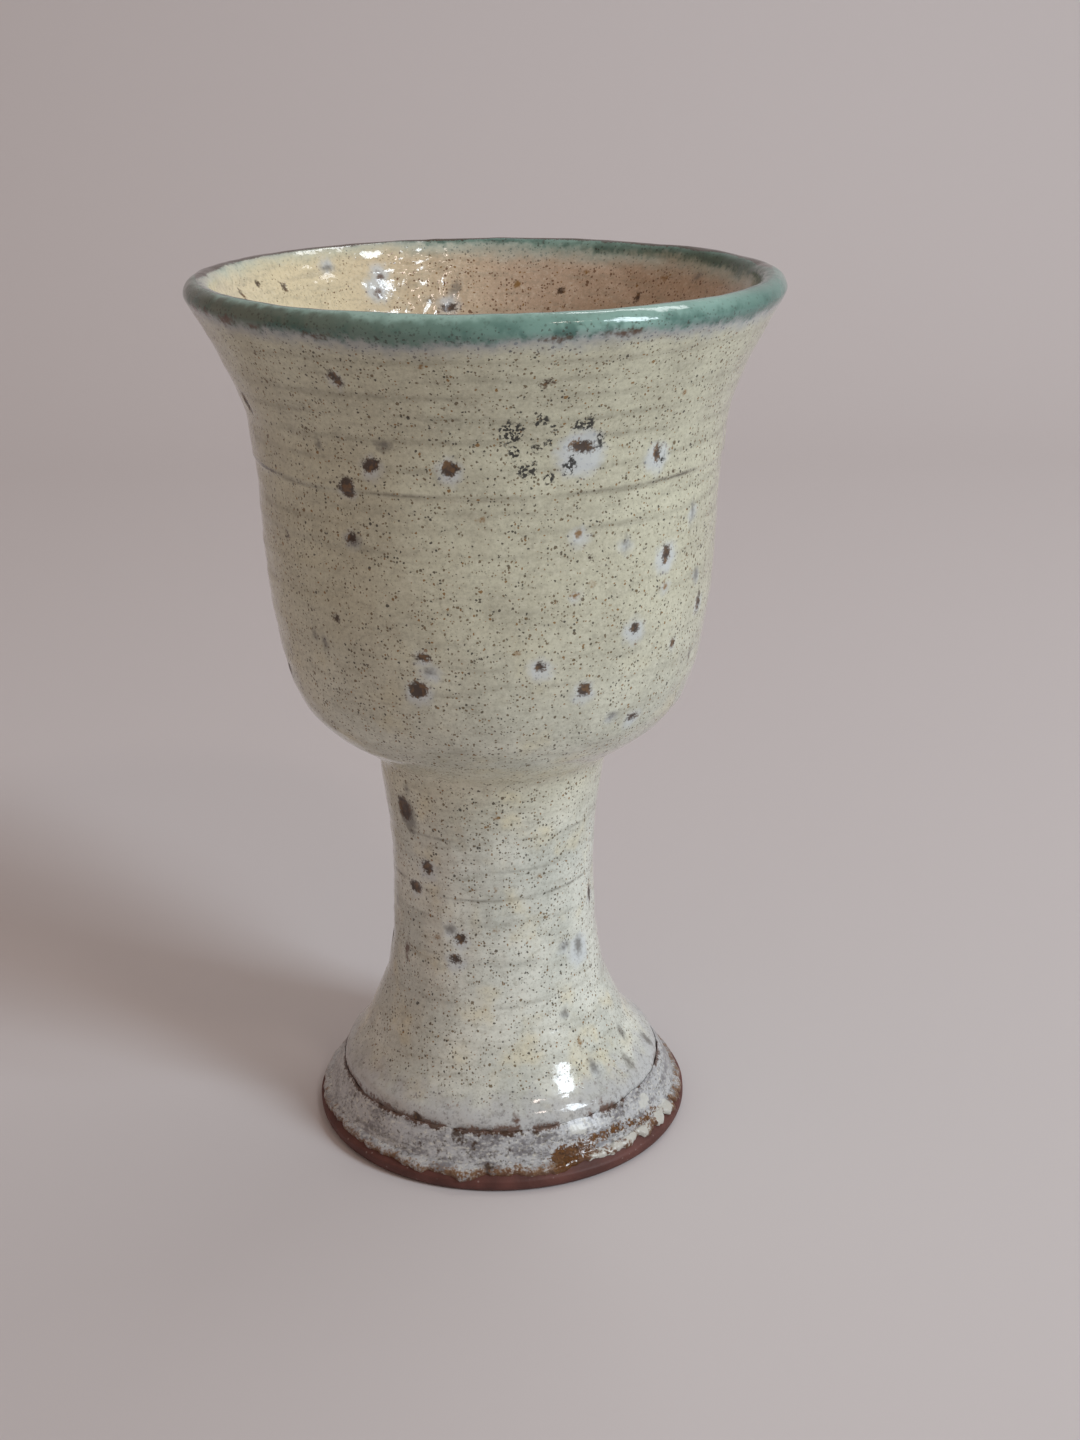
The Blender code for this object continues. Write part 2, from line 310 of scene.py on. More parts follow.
def groove_bridge(azimuth):
    """0 where the groove is open and 1 where glaze bridges it."""
    return np.clip(bumps_around(azimuth, GROOVE_RUNS), 0, 1)


def stem_lean(height):
    """How far the stem was nudged to the left, and its foot to the right, when it was joined to the bowl."""
    foot = FOOT_LEAN * (1 - smooth_step(5, 18, height))
    return foot + STEM_LEAN * smooth_step(11, 24, height) * (1 - smooth_step(68, 76, height))


def ledge(height):
    """The small step that the thrower's rib left below the flare."""
    return LEDGE_STEP * smooth_step(LEDGE_HEIGHT - 0.35, LEDGE_HEIGHT + 0.35, height)


def wall_outline():
    """The wetted outline of the glaze as (radius, height), and the heights of the seams between coats."""
    stem_low, stem_high, _ = node_span("stem_glaze")
    bowl_low, bowl_high, _ = node_span("bowl_glaze")
    _, lip_top, lip_out = node_span("lip_glaze")
    middle = np.array([lip_out - LIP_RADIUS, lip_top - LIP_RADIUS])
    stem = felt_from_outside("stem_glaze", np.arange(stem_low + 0.15, stem_high - 0.3, FEEL_STEP))
    hem = np.array([filled_radius(HEM_HEIGHT) + HEM_THICKNESS, HEM_HEIGHT])
    share = np.linspace(0, 1, 6)[:-1, None]
    rounded = np.concatenate([np.sin(share * math.pi / 2), share], axis=1)
    stem = np.concatenate([hem + (stem[0] - hem) * rounded, stem])
    bowl = felt_from_outside("bowl_glaze", np.arange(bowl_low + 0.6, bowl_high - 1.2, FEEL_STEP))
    fan = [middle + 9 * np.array([math.cos(t), math.sin(t)]) for t in np.radians(np.arange(-25, 196, 5))]
    lip = felt("lip_glaze", fan, [middle] * len(fan))
    liner = felt_from_axis("liner_glaze", np.arange(bowl_high - 1.2, 88, -FEEL_STEP))
    radii = np.arange(FLOOR_REACH, 0, -FEEL_STEP)
    floor = felt("liner_glaze", [(r, 110) for r in radii], [(r, 0) for r in radii])
    bowl[:, 0] -= ledge(bowl[:, 1])
    bowl[:, 0] += ledge(1000) * smooth_step(LEDGE_HEIGHT, 150, bowl[:, 1])
    lower = np.concatenate([eased(stem, 0.7), eased(bowl, 1.8)])
    upper = np.concatenate([eased(liner, 2.0), eased(floor, 1.5), [[0, floor[-1, 1]]]])
    line = eased(np.concatenate([lower, lip, upper]), 0.45)
    line[-1, 0] = 0
    return line, (stem_high + bowl_low) / 2, bowl_high - 0.4


@functools.cache
def wall_rings():
    """The outline at the ring spacing of each coat, and the ring at which each coat ends."""
    line, crease, rim = wall_outline()
    height = line[:, 1]
    top = np.argmax(height)
    rising = np.argmax(height > crease), np.argmax(height > rim)
    cuts = (*rising, top + np.argmax(height[top:] < rim), len(line) - 1)
    parts, ends, begun = [], [], 0
    for cut, step in zip(cuts, (STEM_STEP, BOWL_STEP, LIP_STEP, LINER_STEP)):
        parts.append(even(line[begun : cut + 1], step)[1 if begun else 0 :])
        ends.append(sum(map(len, parts)) - 1)
        begun = cut
    return np.concatenate(parts)[:-1], (*ends[:3], ends[3] - 1)


# Marks on the glaze by kind: azimuth, height, half width, half height and, where there are any, the lean
# in degrees and the reach of the halo. Iron spots are grains of rust that melted through the glaze, and a
# halo is where they bleached it. Crust is the black crystals beside the large spot.
MARKS = {
    "iron": (
        (-8.6, 135.3, 1.3, 1.15, 0, 2.5), (20, 138.3, 1.9, 0.95, -12, 4.6), (40.2, 135.3, 0.6, 1.2, 0, 3),
        (-30, 149.4, 0.75, 1.5, 35, 1.8), (11, 149.1, 0.9, 0.4, 10), (-26.5, 135.2, 1.5, 1.05, 20, 2.2),
        (-33.4, 131, 1.35, 1.8, 0, 2), (-33.4, 122.6, 0.8, 0.7, 20, 1.8), (46, 117.6, 0.85, 1.5, -8, 3.2),
        (64, 106, 0.7, 1.6, 0, 2), (23.4, 119.7, 0.35, 0.35), (36.5, 106.1, 0.8, 0.85, 20, 2.7),
        (52, 100.8, 0.6, 0.6, 0, 1.2), (11.4, 101.8, 0.8, 0.75, 0, 2.6), (23.2, 96.6, 1.15, 1.15, 0, 2.4),
        (40.5, 88.9, 1, 0.6, 0, 2.2), (-18.8, 97.5, 1.6, 1.45, 10, 2.7),
        (-16.7, 103.5, 1.2, 0.55, -5, 1.8), (-39.9, 108.2, 0.6, 0.6), (-57, 120, 0.4, 0.6),
        (-73, 93, 0.9, 1.2, 0, 1.8), (-67.5, 141.3, 1, 1.9, 20), (-51.5, 66.4, 1.7, 2.2, 10, 1.8),
        (-38.9, 55.8, 1.2, 1.15, 0, 2.6), (-48.7, 50.9, 1.5, 1.1, 0, 2), (-84, 35.7, 0.7, 1.3, 0, 1.2),
        (70, 46, 0.8, 1.6, 0, 1.6), (-19, 42.8, 1.05, 0.85, 0, 2.2), (-22, 38.6, 1.1, 0.75, 0, 2.4),
        (-31, 10.6, 0.9, 0.7, -20),
    ),
    "crust": (
        (42, 134.2, 0.45, 0.45), (20.3, 142, 1.7, 1.1, 10), (24.3, 138.9, 0.8, 1.4),
        (17.6, 135.2, 0.8, 1.3, 20), (4.6, 141.2, 1.9, 2), (10.9, 142.9, 1.6, 0.6, -15),
        (13.2, 141.8, 0.8, 0.8), (12.5, 139.2, 0.6, 0.5), (9.8, 138.4, 0.5, 0.6), (8.5, 134.8, 1.3, 1),
        (12.9, 133.4, 0.9, 0.8), (5.2, 137.8, 0.8, 0.9),
    ),
    "ochre": (
        (20.3, 123.8, 0.9, 0.75, -30, 2), (46.7, 111.9, 0.5, 0.9, 0, 1.4), (19.6, 113.6, 0.8, 0.5, 0, 1.2),
        (23.9, 115, 0.5, 0.4), (5.8, 104.4, 0.6, 0.4), (-12, 152.2, 0.5, 0.4), (44, 145, 0.5, 0.4),
        (-2, 127, 0.7, 0.4, 10), (2.3, 67.5, 0.45, 0.4), (1.3, 52.9, 0.4, 0.5), (25, 54.7, 0.45, 0.4),
        (0.4, 44.9, 0.5, 0.4), (-33, 42.2, 0.5, 0.4), (40, 20.6, 0.45, 0.9, -10),
    ),
    "grey": (
        (-23, 138.5, 1.3, 0.9), (-33, 122.3, 1.5, 1.2), (-40, 137.5, 0.5, 0.9),
        (32.8, 121, 0.45, 0.9, 0, 1.6), (56.3, 123.4, 0.5, 1.5, 0, 2), (61, 111.6, 0.8, 1.2, 0, 1.5),
        (32.8, 90.5, 0.9, 0.6, 0, 1.4), (64.2, 96.3, 0.7, 1.3), (-15.3, 101, 0.8, 0.6, 0, 2.2),
        (-45.3, 103, 0.7, 1.1), (-48.8, 103.9, 0.6, 0.8), (-50.5, 65.6, 2.4, 3.4, 10),
        (-49.5, 62.6, 0.8, 1.3, 35), (-48, 70.7, 0.6, 0.7), (-72, 44.9, 0.7, 1),
        (-25, 44.4, 0.9, 0.8, 0, 1.8), (53.4, 37.6, 1, 1.6, 0, 3.6), (41.8, 39, 0.9, 0.6, 0, 1.6),
        (42.5, 16.2, 0.8, 1.4, 0, 1.8), (60.4, 13.9, 0.9, 1.6), (36.3, 26.5, 0.7, 0.8, 0, 1),
        (69, 17.5, 0.9, 1.3), (82, 13, 1, 1.6),
    ),
    "rust": (
        (24.6, 156.6, 2.9, 0.6), (10.9, 156.3, 1.7, 0.4), (-67, 157, 1.6, 0.7), (-60.5, 156.9, 1, 0.7),
        (-53, 156.9, 2.3, 0.8, 15), (-44.5, 156.6, 0.9, 0.4), (-31, 156.3, 1.5, 0.35), (-57, 37, 0.8, 2),
        (5.5, 11.8, 0.5, 1.4), (37, 11.4, 1, 0.5, 20), (31.5, 10.6, 0.7, 0.4, 20),
    ),
}
# Marks inside the bowl, on the far wall, in the same terms.
INNER_MARKS = {
    "iron": (
        (-114.1, 155.9, 0.5, 0.5), (-122.7, 154.5, 0.5, 0.7), (-104.2, 155, 0.4, 0.9, 10),
        (-169.7, 148, 1.3, 0.7, 0, 2.4), (160, 151, 0.7, 0.6), (137.5, 151, 0.5, 0.9),
    ),
    "ochre": (
        (172, 152, 0.9, 0.7), (154, 154.5, 0.5, 0.5), (131, 154.5, 0.9, 0.5), (113, 152, 0.6, 0.7),
    ),
    "grey": (
        (-164.5, 149.4, 0.7, 0.4), (-172, 151.5, 0.8, 1.4, -30), (-139, 156.5, 0.9, 0.5, 0, 2),
        (120, 155.5, 0.8, 0.8),
    ),
    "rust": (
        (-152.4, 154.1, 0.7, 0.9, 0, 2.6), (-150.8, 151.4, 0.8, 0.9, 20, 3.2),
    ),
}
KINDS = ("iron", "crust", "ochre", "grey", "rust")
MARK_REACH = 8.0
# Dark lines left by the thrower's tool: height, strength and half width.
OUTER_LINES = (
    (130.4, 1.3, 0.26), (146.5, 0.35, 0.5), (143, 0.4, 0.5), (124.7, 0.35, 0.5), (111.5, 0.2, 0.6),
    (97, 0.2, 0.5), (62.4, 0.55, 0.2), (56.3, 0.4, 0.2), (51.2, 0.95, 0.2), (45.6, 0.35, 0.25),
    (37.6, 0.55, 0.22), (30, 0.3, 0.25), (152.7, 0.3, 0.45), (149.5, 0.25, 0.5), (139.3, 0.3, 0.5),
    (134.8, 0.5, 0.5), (127.7, 0.2, 0.5), (121.1, 0.25, 0.5),
)


def unseen_inner_marks():
    """Random marks down the inside of the bowl, below what the front view shows."""
    draw = np.random.default_rng(43)
    marks = {kind: [] for kind in KINDS}
    for _ in range(44):
        kind = ("iron", "ochre", "grey")[draw.integers(3)]
        size = draw.uniform(0.3, 0.9)
        halo = size + draw.uniform(0.8, 1.6) if size > 0.65 else 0
        shape = size, size * draw.uniform(0.7, 1.5)
        place = draw.uniform(-180, 180), draw.uniform(86, 147)
        marks[kind].append((*place, *shape, draw.uniform(-30, 30), halo))
    return marks


def unseen_marks():
    """Random marks for the back of the bowl and stem, of the same kinds and sizes as on the front."""
    draw = np.random.default_rng(41)
    marks = {kind: [] for kind in KINDS}
    for low, high, count in ((84, 152, 46), (20, 70, 18)):
        for _ in range(count):
            kind = ("iron", "iron", "ochre", "grey", "crust")[draw.integers(5)]
            size = draw.uniform(0.4, 1.3) if kind != "ochre" else draw.uniform(0.35, 0.7)
            halo = size + draw.uniform(0.8, 2.2) if kind in ("iron", "grey") and size > 0.6 else 0
            azimuth = draw.uniform(88, 270)
            shape = size, size * draw.uniform(0.7, 1.5)
            marks[kind].append((azimuth, draw.uniform(low, high), *shape, draw.uniform(-30, 30), halo))
    return marks


def mark_fields(groups, radius, azimuth, along, place_of):
    """For each kind of mark, how many mm each grid point lies inside the nearest one. Halo likewise.

    Each group holds marks by their kind. The grid is given by its radius, azimuth and length along the
    wall, and place_of turns a height into a length along the wall.
    """
    shape = np.broadcast_shapes(radius.shape, azimuth.shape, along.shape)
    fields = {kind: np.full(shape, -MARK_REACH) for kind in (*KINDS, "halo")}
    marks = [(kind, *mark) for group in groups for kind, some in group.items() for mark in some]
    for kind, middle, height, wide, tall, *rest in marks:
        lean, halo = (*rest, 0, 0)[:2]
        up = along - place_of(height)
        rows = np.nonzero(np.abs(up).min(axis=1) < MARK_REACH)[0]
        if not len(rows):
            continue
        span = slice(rows[0], rows[-1] + 1)
        up = up[span]
        across = radius[span] * np.radians(from_front(azimuth - middle))
        turn = math.radians(lean)
        u, v = across * math.cos(turn) + up * math.sin(turn), up * math.cos(turn) - across * math.sin(turn)
        inside = (1 - np.hypot(u / wide, v / tall)) * min(wide, tall)
        fields[kind][span] = np.maximum(fields[kind][span], inside)
        if halo:
            bleached = halo - np.hypot(across, up + 0.25 * halo)
            fields["halo"][span] = np.maximum(fields["halo"][span], bleached)
    return fields


def line_field(lines, azimuth, height, seed):
    """How strongly the dark thrower's lines show, 0 to 1, each line wavering and fading around the pot."""
    field = np.zeros(np.broadcast_shapes(azimuth.shape, height.shape))
    for number, (level, strength, half) in enumerate(lines):
        waver = 0.25 * ragged(WALL_RING, 9, seed + 2 * number)
        fade = np.clip(0.6 + 0.4 * ragged(WALL_RING, 5, seed + 1 + 2 * number), 0, 1)
        field = np.maximum(field, strength * fade * np.exp(-(((height - level - waver) / half) ** 2)))
    return field


@functools.cache
def thrown_wall():
    """Points, normals and mark fields of the whole glazed wall, from the groove to the bowl's floor."""
    outline, ends = wall_rings()
    _, bowl_end, lip_end, _ = ends
    along = lengths_along(outline)[:, None]
    radius, height, angle = turned_grid(outline, AROUND)
    shape, spacing = radius.shape, (WALL_STEP, AROUND_STEP)
    inside = smooth_step(lip_end - 40, lip_end - 8, np.arange(len(outline)))[:, None]
    outside = (np.arange(len(outline)) <= bowl_end)[:, None]
    crest = np.exp(-(((height - outline[:, 1].max()) / 6) ** 2))

    # The thrower's finger rings climb one pitch in each turn, with finer ones between them.
    pitch = np.sin(math.tau * along / RING_PITCH - angle)
    pitch = pitch + 0.5 * np.sin(math.tau * along / FINE_RING_PITCH - 2 * angle)
    depth = RING_DEPTH + (INNER_RING_DEPTH - RING_DEPTH) * inside
    depth = depth * (0.6 + 0.4 * swells(shape, spacing, (9, 14), 3))
    proud = depth * pitch * (1 - 0.7 * crest)
    for share, size, reach, seed in (
        (1, 0.045, (2.2, 2.6), 5),
        (1, 0.02, (0.9, 1.0), 6),
        (inside, 0.07, (1.5, 1.7), 8),
        (inside, 0.02, (0.7, 0.8), 9),
    ):
        proud += share * size * swells(shape, spacing, reach, seed)

    azimuth = from_front(np.degrees(angle))
    blistered = inside * np.exp(-(((azimuth - BLISTERS_AT) % 360 - 180) / BLISTERS_WIDE) ** 2)
    proud += BLISTER_DEPTH * blistered * np.abs(swells(shape, spacing, (0.9, 0.9), 10))
    top = np.argmax(outline[:, 1])
    sides = [
        mark_fields(
            marks, outline[part, :1], azimuth, along[part],
            lambda level: np.interp(up * level, up * outline[part, 1], along[part, 0]),
        )
        for marks, part, up in (
            ((MARKS, unseen_marks()), slice(top), 1),
            ((INNER_MARKS, unseen_inner_marks()), slice(top, None), -1),
        )
    ]
    fields = {kind: np.concatenate([side[kind] for side in sides]) for kind in sides[0]}
    lines = line_field(OUTER_LINES, azimuth, outline[:top, 1:], 81)
    fields["line"] = np.concatenate([lines, np.zeros((len(outline) - top, AROUND))])
    proud -= IRON_SUNK * smooth_step(0, 0.6, fields["iron"])
    proud -= CRUST_SUNK * smooth_step(0, 0.4, fields["crust"])

    fade = smooth_step(2, 14, radius) * (0.25 + 0.75 * smooth_step(14, 42, height))
    step = ledge(height) - ledge(1000) * smooth_step(LEDGE_HEIGHT, 150, height)
    proud = proud * fade + outside * step
    bridge = groove_bridge(azimuth)
    edge = np.clip(along / 0.8, 0, 1)
    proud = proud - 0.15 * (1 - bridge) * (1 - np.sqrt(1 - (1 - edge) ** 2))

    # The lower edge follows the brush that wiped the groove.
    radius += OVAL * fade * np.cos(2 * angle + height / 45)
    wiped = 0.18 * ragged(WALL_RING, 1.4, 21) + 0.12 * ragged(WALL_RING, 0.5, 22)
    slipped = (0.5 * wiped - 0.1 * bridge) * (1 - smooth_step(0, 3.5, along))
    slope = (outline[6] - outline[0]) / np.linalg.norm(outline[6] - outline[0])
    points = placed(radius + slipped * slope[0], height + slipped * slope[1], angle)
    points = points + normals_of(points) * proud[..., None]

    # Copper: how many mm each point lies inside the green band, whose two edges waver. Inside the bowl
    # the band is widest at the right, and fades out at the left. Bare: the worn line along the crest, with
    # short runs down the inside.
    from_crest = along - along[top]
    waver = 0.35 * ragged(WALL_RING, 6, 31)
    outer_reach = GREEN_OUTSIDE + waver + 0.5 * np.cos(np.radians(azimuth - 70))
    inner_reach = GREEN_INSIDE + waver + bumps_around(azimuth, GREEN_RUNS)
    within = np.minimum(outer_reach, inner_reach - from_crest)
    fields["copper"] = np.where(from_crest < 0, from_crest + outer_reach, within)
    fields["inside"] = np.repeat(smooth_step(-1.0, 3.0, from_crest), AROUND, axis=1)
    at_back = smooth_step(66, 98, np.abs(azimuth))
    runs = np.clip(ragged(WALL_RING, 0.7, 34) - 1.2, 0, 2) * at_back
    worn = -0.3 + 1.05 * at_back + 0.2 * ragged(WALL_RING, 2.5, 33)
    fields["bare"] = worn - np.abs(from_crest - 0.2) / (1 + 1.5 * runs * (from_crest > 0.2))
    fields["hem"] = along + 2.5 * bridge - 0.9 * bumps_around(azimuth, GROOVE_STAINS)
    return {"points": points, "normals": normals_of(points), "fields": fields}, ends


# Nodes

def add(tree, kind, inputs=None, **settings):
    """Adds one shader node of a kind with its settings, and sets or links its inputs, by name or number."""
    made = tree.nodes.new("ShaderNode" + kind)
    for name, value in settings.items():
        setattr(made, name, value)
    for key, value in (inputs or {}).items():
        if isinstance(value, bpy.types.Node):
            value = next(out for out in value.outputs if out.enabled)
        if isinstance(value, bpy.types.NodeSocket):
            tree.links.new(value, made.inputs[key])
        else:
            made.inputs[key].default_value = value
    return made


def new_material(name, colour, roughness):
    """An empty material with one Principled shader, the colour also set for the solid view."""
    material = bpy.data.materials.new(name)
    material.use_nodes = True
    material.diffuse_color = rgba(colour)
    shader = material.node_tree.nodes["Principled BSDF"]
    shader.inputs["Base Color"].default_value = rgba(colour)
    shader.inputs["Roughness"].default_value = roughness
    return material, material.node_tree, shader


def finish_skin(tree, shader, skin, relief, depth=MM):
    """Links the painted skin to the shader, and its relief as a bump of that depth."""
    tree.links.new(skin.outputs[2], shader.inputs["Base Color"])
    bump = add(tree, "Bump", {"Height": relief, "Distance": depth, "Strength": 1.0})
    tree.links.new(bump.outputs[0], shader.inputs["Normal"])


def dress(piece, material, node):
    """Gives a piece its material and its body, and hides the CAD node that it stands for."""
    piece.data.materials.append(material)
    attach(piece, BODY)
    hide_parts(node)


# Patterns in the glazes, in mm: the spacing and the radius of the specks (where it is below nothing, the
# speck stays away), how soft their edges are, the length and height of the streaks, the spread of the fine
# mottle and of the clouds, the orange peel that a brushed glaze keeps, and the crystals of the crust.
SPECKS = ((0.52, -0.06, 0.262), (1.5, -0.42, 0.38))
SPECK_EDGE = 0.07
SPECK_BENT, SPECK_CLUMP = 0.45, 3.0
STREAK_LONG, STREAK_TALL = 9.0, 1.5
MOTTLE_SIZE, CLOUD_SIZE = 0.8, 11.0
PEEL_SIZE, PEEL_DEPTH, INNER_PEEL_DEPTH = 2.2, 0.05, 0.12
CRYSTAL_SIZE = 0.4
# In the bare clay: patches of colour, the spacing of pale grains of grit, and the grain of the surface.
CLAY_CLOUD_SIZE, GRIT_SPACING, GRAIN_SIZE = 5.0, 1.6, 0.5
GLAZE_FIELDS = (*KINDS, "halo", "line", "copper", "inside", "bare", "hem")


def place_in_mm(tree):
    """The place on the piece in mm."""
    where = add(tree, "TexCoord").outputs["Object"]
    return add(tree, "VectorMath", {0: where, "Scale": 1 / MM}, operation="SCALE")


def wander(tree, mm, size, reach, detail=2.0):
    """Noise of that size in mm, spread over plus and minus reach."""
    noise = add(tree, "TexNoise", {"Vector": mm, "Scale": 1 / size, "Detail": detail})
    return add(tree, "MapRange", {0: noise, 1: 0.3, 2: 0.7, 3: -reach, 4: reach}, clamp=False)


def laid(tree, skin, paint, value, low, high, most=1.0, ragged_by=(), within=()):
    """Paint laid over the skin where a value passes from low to high.

    The noises in ragged_by are added to the value first, and the paint keeps within the other shares.
    Skin and paint are each a colour or a node. It returns the new skin and the share that it laid.
    """
    for noise in ragged_by:
        value = add(tree, "Math", {0: value, 1: noise}, operation="ADD")
    limits = {0: value, 1: low, 2: high, 4: most}
    share = add(tree, "MapRange", limits, interpolation_type="SMOOTHSTEP")
    for other in within:
        share = add(tree, "Math", {0: share, 1: other}, operation="MULTIPLY")
    layers = {k: v if isinstance(v, bpy.types.Node) else rgba(v) for k, v in ((6, skin), (7, paint))}
    return add(tree, "Mix", {0: share, **layers}, data_type="RGBA"), share


def layered(tree, skin, *layers):
    """The skin with several paints laid over it in turn, each given as laid takes it."""
    for layer in layers:
        skin, _ = laid(tree, skin, *layer)
    return skin


def iron_speckled_glaze(name, colours):
    """Glossy stoneware glaze, brushed over a red iron-rich clay and fired until the rust bled through.

    It gives a milky cream skin, peppered with olive and black specks, with grey streaks along the
    throwing rings, rust spots in pale blue halos, and a copper green band that melts out of the lip.
    The cream, the green and the liner melted into one another in the kiln, so they share this recipe.
    """
    material, tree, shader = new_material(name, colours.cream, 0.14)
    mm = place_in_mm(tree)
    place = add(tree, "SeparateXYZ", {0: mm})
    right, height = place.outputs["X"], place.outputs["Z"]
    fields = {f: add(tree, "Attribute", attribute_name=f).outputs["Fac"] for f in GLAZE_FIELDS}
    inside = fields["inside"]
    broad, coarse = wander(tree, mm, 4.5, 0.5), wander(tree, mm, 1.5, 0.45)
    medium, fine = wander(tree, mm, 0.7, 0.3), wander(tree, mm, 0.3, 0.2, 1.0)

    # The milk of the glaze: cream on the bowl, bluer down the stem with warm patches, yellower inside,
    # and greyer wherever it is thin. Inside, the liner turns redder and darker towards the right: partly a
    # thinner glaze, and partly painted shade on the inner wall that faces away from the lamps.
    cloud = add(tree, "TexNoise", {"Vector": mm, "Scale": 1 / CLOUD_SIZE, "Detail": 4.0})
    drift = wander(tree, mm, 7.0, 1.0, 3.0)
    stem, _ = laid(tree, colours.stem_milk, colours.stem_thin, cloud, 0.36, 0.64)
    stem, _ = laid(tree, stem, colours.pool, drift, 0.0, 1.2, 0.6)
    # Painted shade: the liner darkens towards the right, over its thinner and redder glaze there.
    liner, _ = laid(tree, colours.liner, colours.liner_thin_and_shaded, right, -38.0, 12.0, 1.0, (drift,))
    pool_top = add(tree, "MapRange", {0: height, 1: 82.0, 2: 76.0})
    skin = layered(
        tree, colours.cream,
        (colours.cream_thin, cloud, 0.36, 0.64),
        (stem, height, 118.0, 62.0),
        (colours.pool, height, 56.0, 76.0, 0.4, (), (pool_top,)),
        (liner, inside, 0.0, 1.0),
    )
    stretch = (1 / STREAK_LONG, 1 / STREAK_LONG, 1 / STREAK_TALL)
    flat = add(tree, "VectorMath", {0: mm, 1: stretch}, operation="MULTIPLY")
    streak = add(tree, "TexNoise", {"Vector": flat, "Scale": 1.0, "Detail": 4.0, "Roughness": 0.65})
    skin, streaked = laid(tree, skin, colours.streak, streak, 0.44, 0.82, 0.45)
    mottle = add(tree, "TexNoise", {"Vector": mm, "Scale": 1 / MOTTLE_SIZE, "Detail": 5.0, "Roughness": 0.8})
    skin, _ = laid(tree, skin, colours.streak, mottle, 0.47, 0.72, 0.6)
    skin, _ = laid(tree, skin, colours.gleam, mottle, 0.5, 0.3, 0.35)
    skin, dark_line = laid(tree, skin, colours.line, coarse, -1.0, 0.2, 1.0, (medium,), (fields["line"],))

    # Specks: fine ones everywhere, crowding together in the streaks, and larger ones here and there.
    warp = add(tree, "TexNoise", {"Vector": mm, "Scale": 1 / 0.5, "Detail": 1.0}).outputs["Color"]
    bent = add(tree, "VectorMath", {0: warp, 1: (SPECK_BENT,) * 3, 2: mm}, operation="MULTIPLY_ADD")
    crowd = wander(tree, mm, SPECK_CLUMP, 0.035)
    sparse = add(tree, "MapRange", {0: right, 1: -12.0, 2: -36.0, 4: -0.09})
    crowd = add(tree, "Math", {0: sparse, 1: inside, 2: crowd}, operation="MULTIPLY_ADD")
    crowd = add(tree, "Math", {0: streaked, 1: 0.07, 2: crowd}, operation="MULTIPLY_ADD")
    shares = []
    for cell, least, most in SPECKS:
        cells = add(tree, "TexVoronoi", {"Vector": bent, "Scale": 1 / cell})
        chance = add(tree, "SeparateColor", {0: cells.outputs["Color"]})
        radius = add(tree, "MapRange", {0: chance, 3: least, 4: most})
        radius = add(tree, "Math", {0: radius, 1: crowd}, operation="ADD")
        away = cells.outputs["Distance"]
        spot = add(tree, "Math", {0: away, 1: -cell, 2: radius}, operation="MULTIPLY_ADD")
        shade, _ = laid(tree, colours.speck, colours.speck_olive, chance.outputs["Green"], 0.1, 0.7)
        shade, _ = laid(tree, shade, colours.speck_brown, inside, 0.0, 1.0, 0.75)
        shade, _ = laid(tree, shade, colours.ochre, chance.outputs["Blue"], 0.8, 0.88)
        skin, share = laid(tree, skin, shade, spot, 0.0, SPECK_EDGE, 0.88)
        shares.append(share)

    # Copper over the lip: a grey-blue bleed first, then green, darker low down, duller at the left and
    # paler by the crest, and paler towards the right as a painted highlight, with rust grains in it, and the
    # bare brown line along the crest.
    low_down = add(tree, "MapRange", {0: fields["copper"], 1: 3.4, 2: 0.8, 3: 0.25})
    pooled = wander(tree, mm, 5.5, 1.0, 3.0)
    green = layered(
        tree, colours.copper,
        (colours.copper_dull, right, 8.0, -36.0, 0.9, (drift,)),
        # Painted highlight: the green turns paler towards the right of the lip, where the lamps' gloss
        # falls.
        (colours.copper_pale_and_highlight, right, -6.0, 34.0, 0.6, (drift,)),
        (colours.copper_pale_and_highlight, fields["copper"], 3.0, 5.0, 0.75, (broad, coarse)),
        (colours.copper_deep, right, 30.0, 46.0, 0.6, (drift, drift)),
        (colours.copper_deep, pooled, -0.3, 0.8, 0.9, (coarse,), (low_down,)),
        (colours.copper_deep, right, 16.0, 34.0, 0.75, (drift, drift, drift), (low_down,)),
        (colours.copper_dull, inside, 0.2, 1.0, 0.4),
    )
    outside = add(tree, "MapRange", {0: inside, 3: 1.0, 4: 0.35})
    skin = layered(
        tree, skin,
        (colours.bleed, fields["copper"], -3.6, 0.4, 0.8, (broad, coarse), (outside,)),
        (colours.copper_pale_and_highlight, fields["copper"], -4.2, 0.6, 0.45, (broad,), (inside,)),
    )
    skin, band = laid(tree, skin, green, fields["copper"], -1.1, 1.1, 1.0, (broad, coarse, medium))
    flecks = wander(tree, mm, 0.8, 1.0, 5.0)
    fewer = add(tree, "MapRange", {0: right, 1: 32.0, 2: -4.0, 3: 0.25})

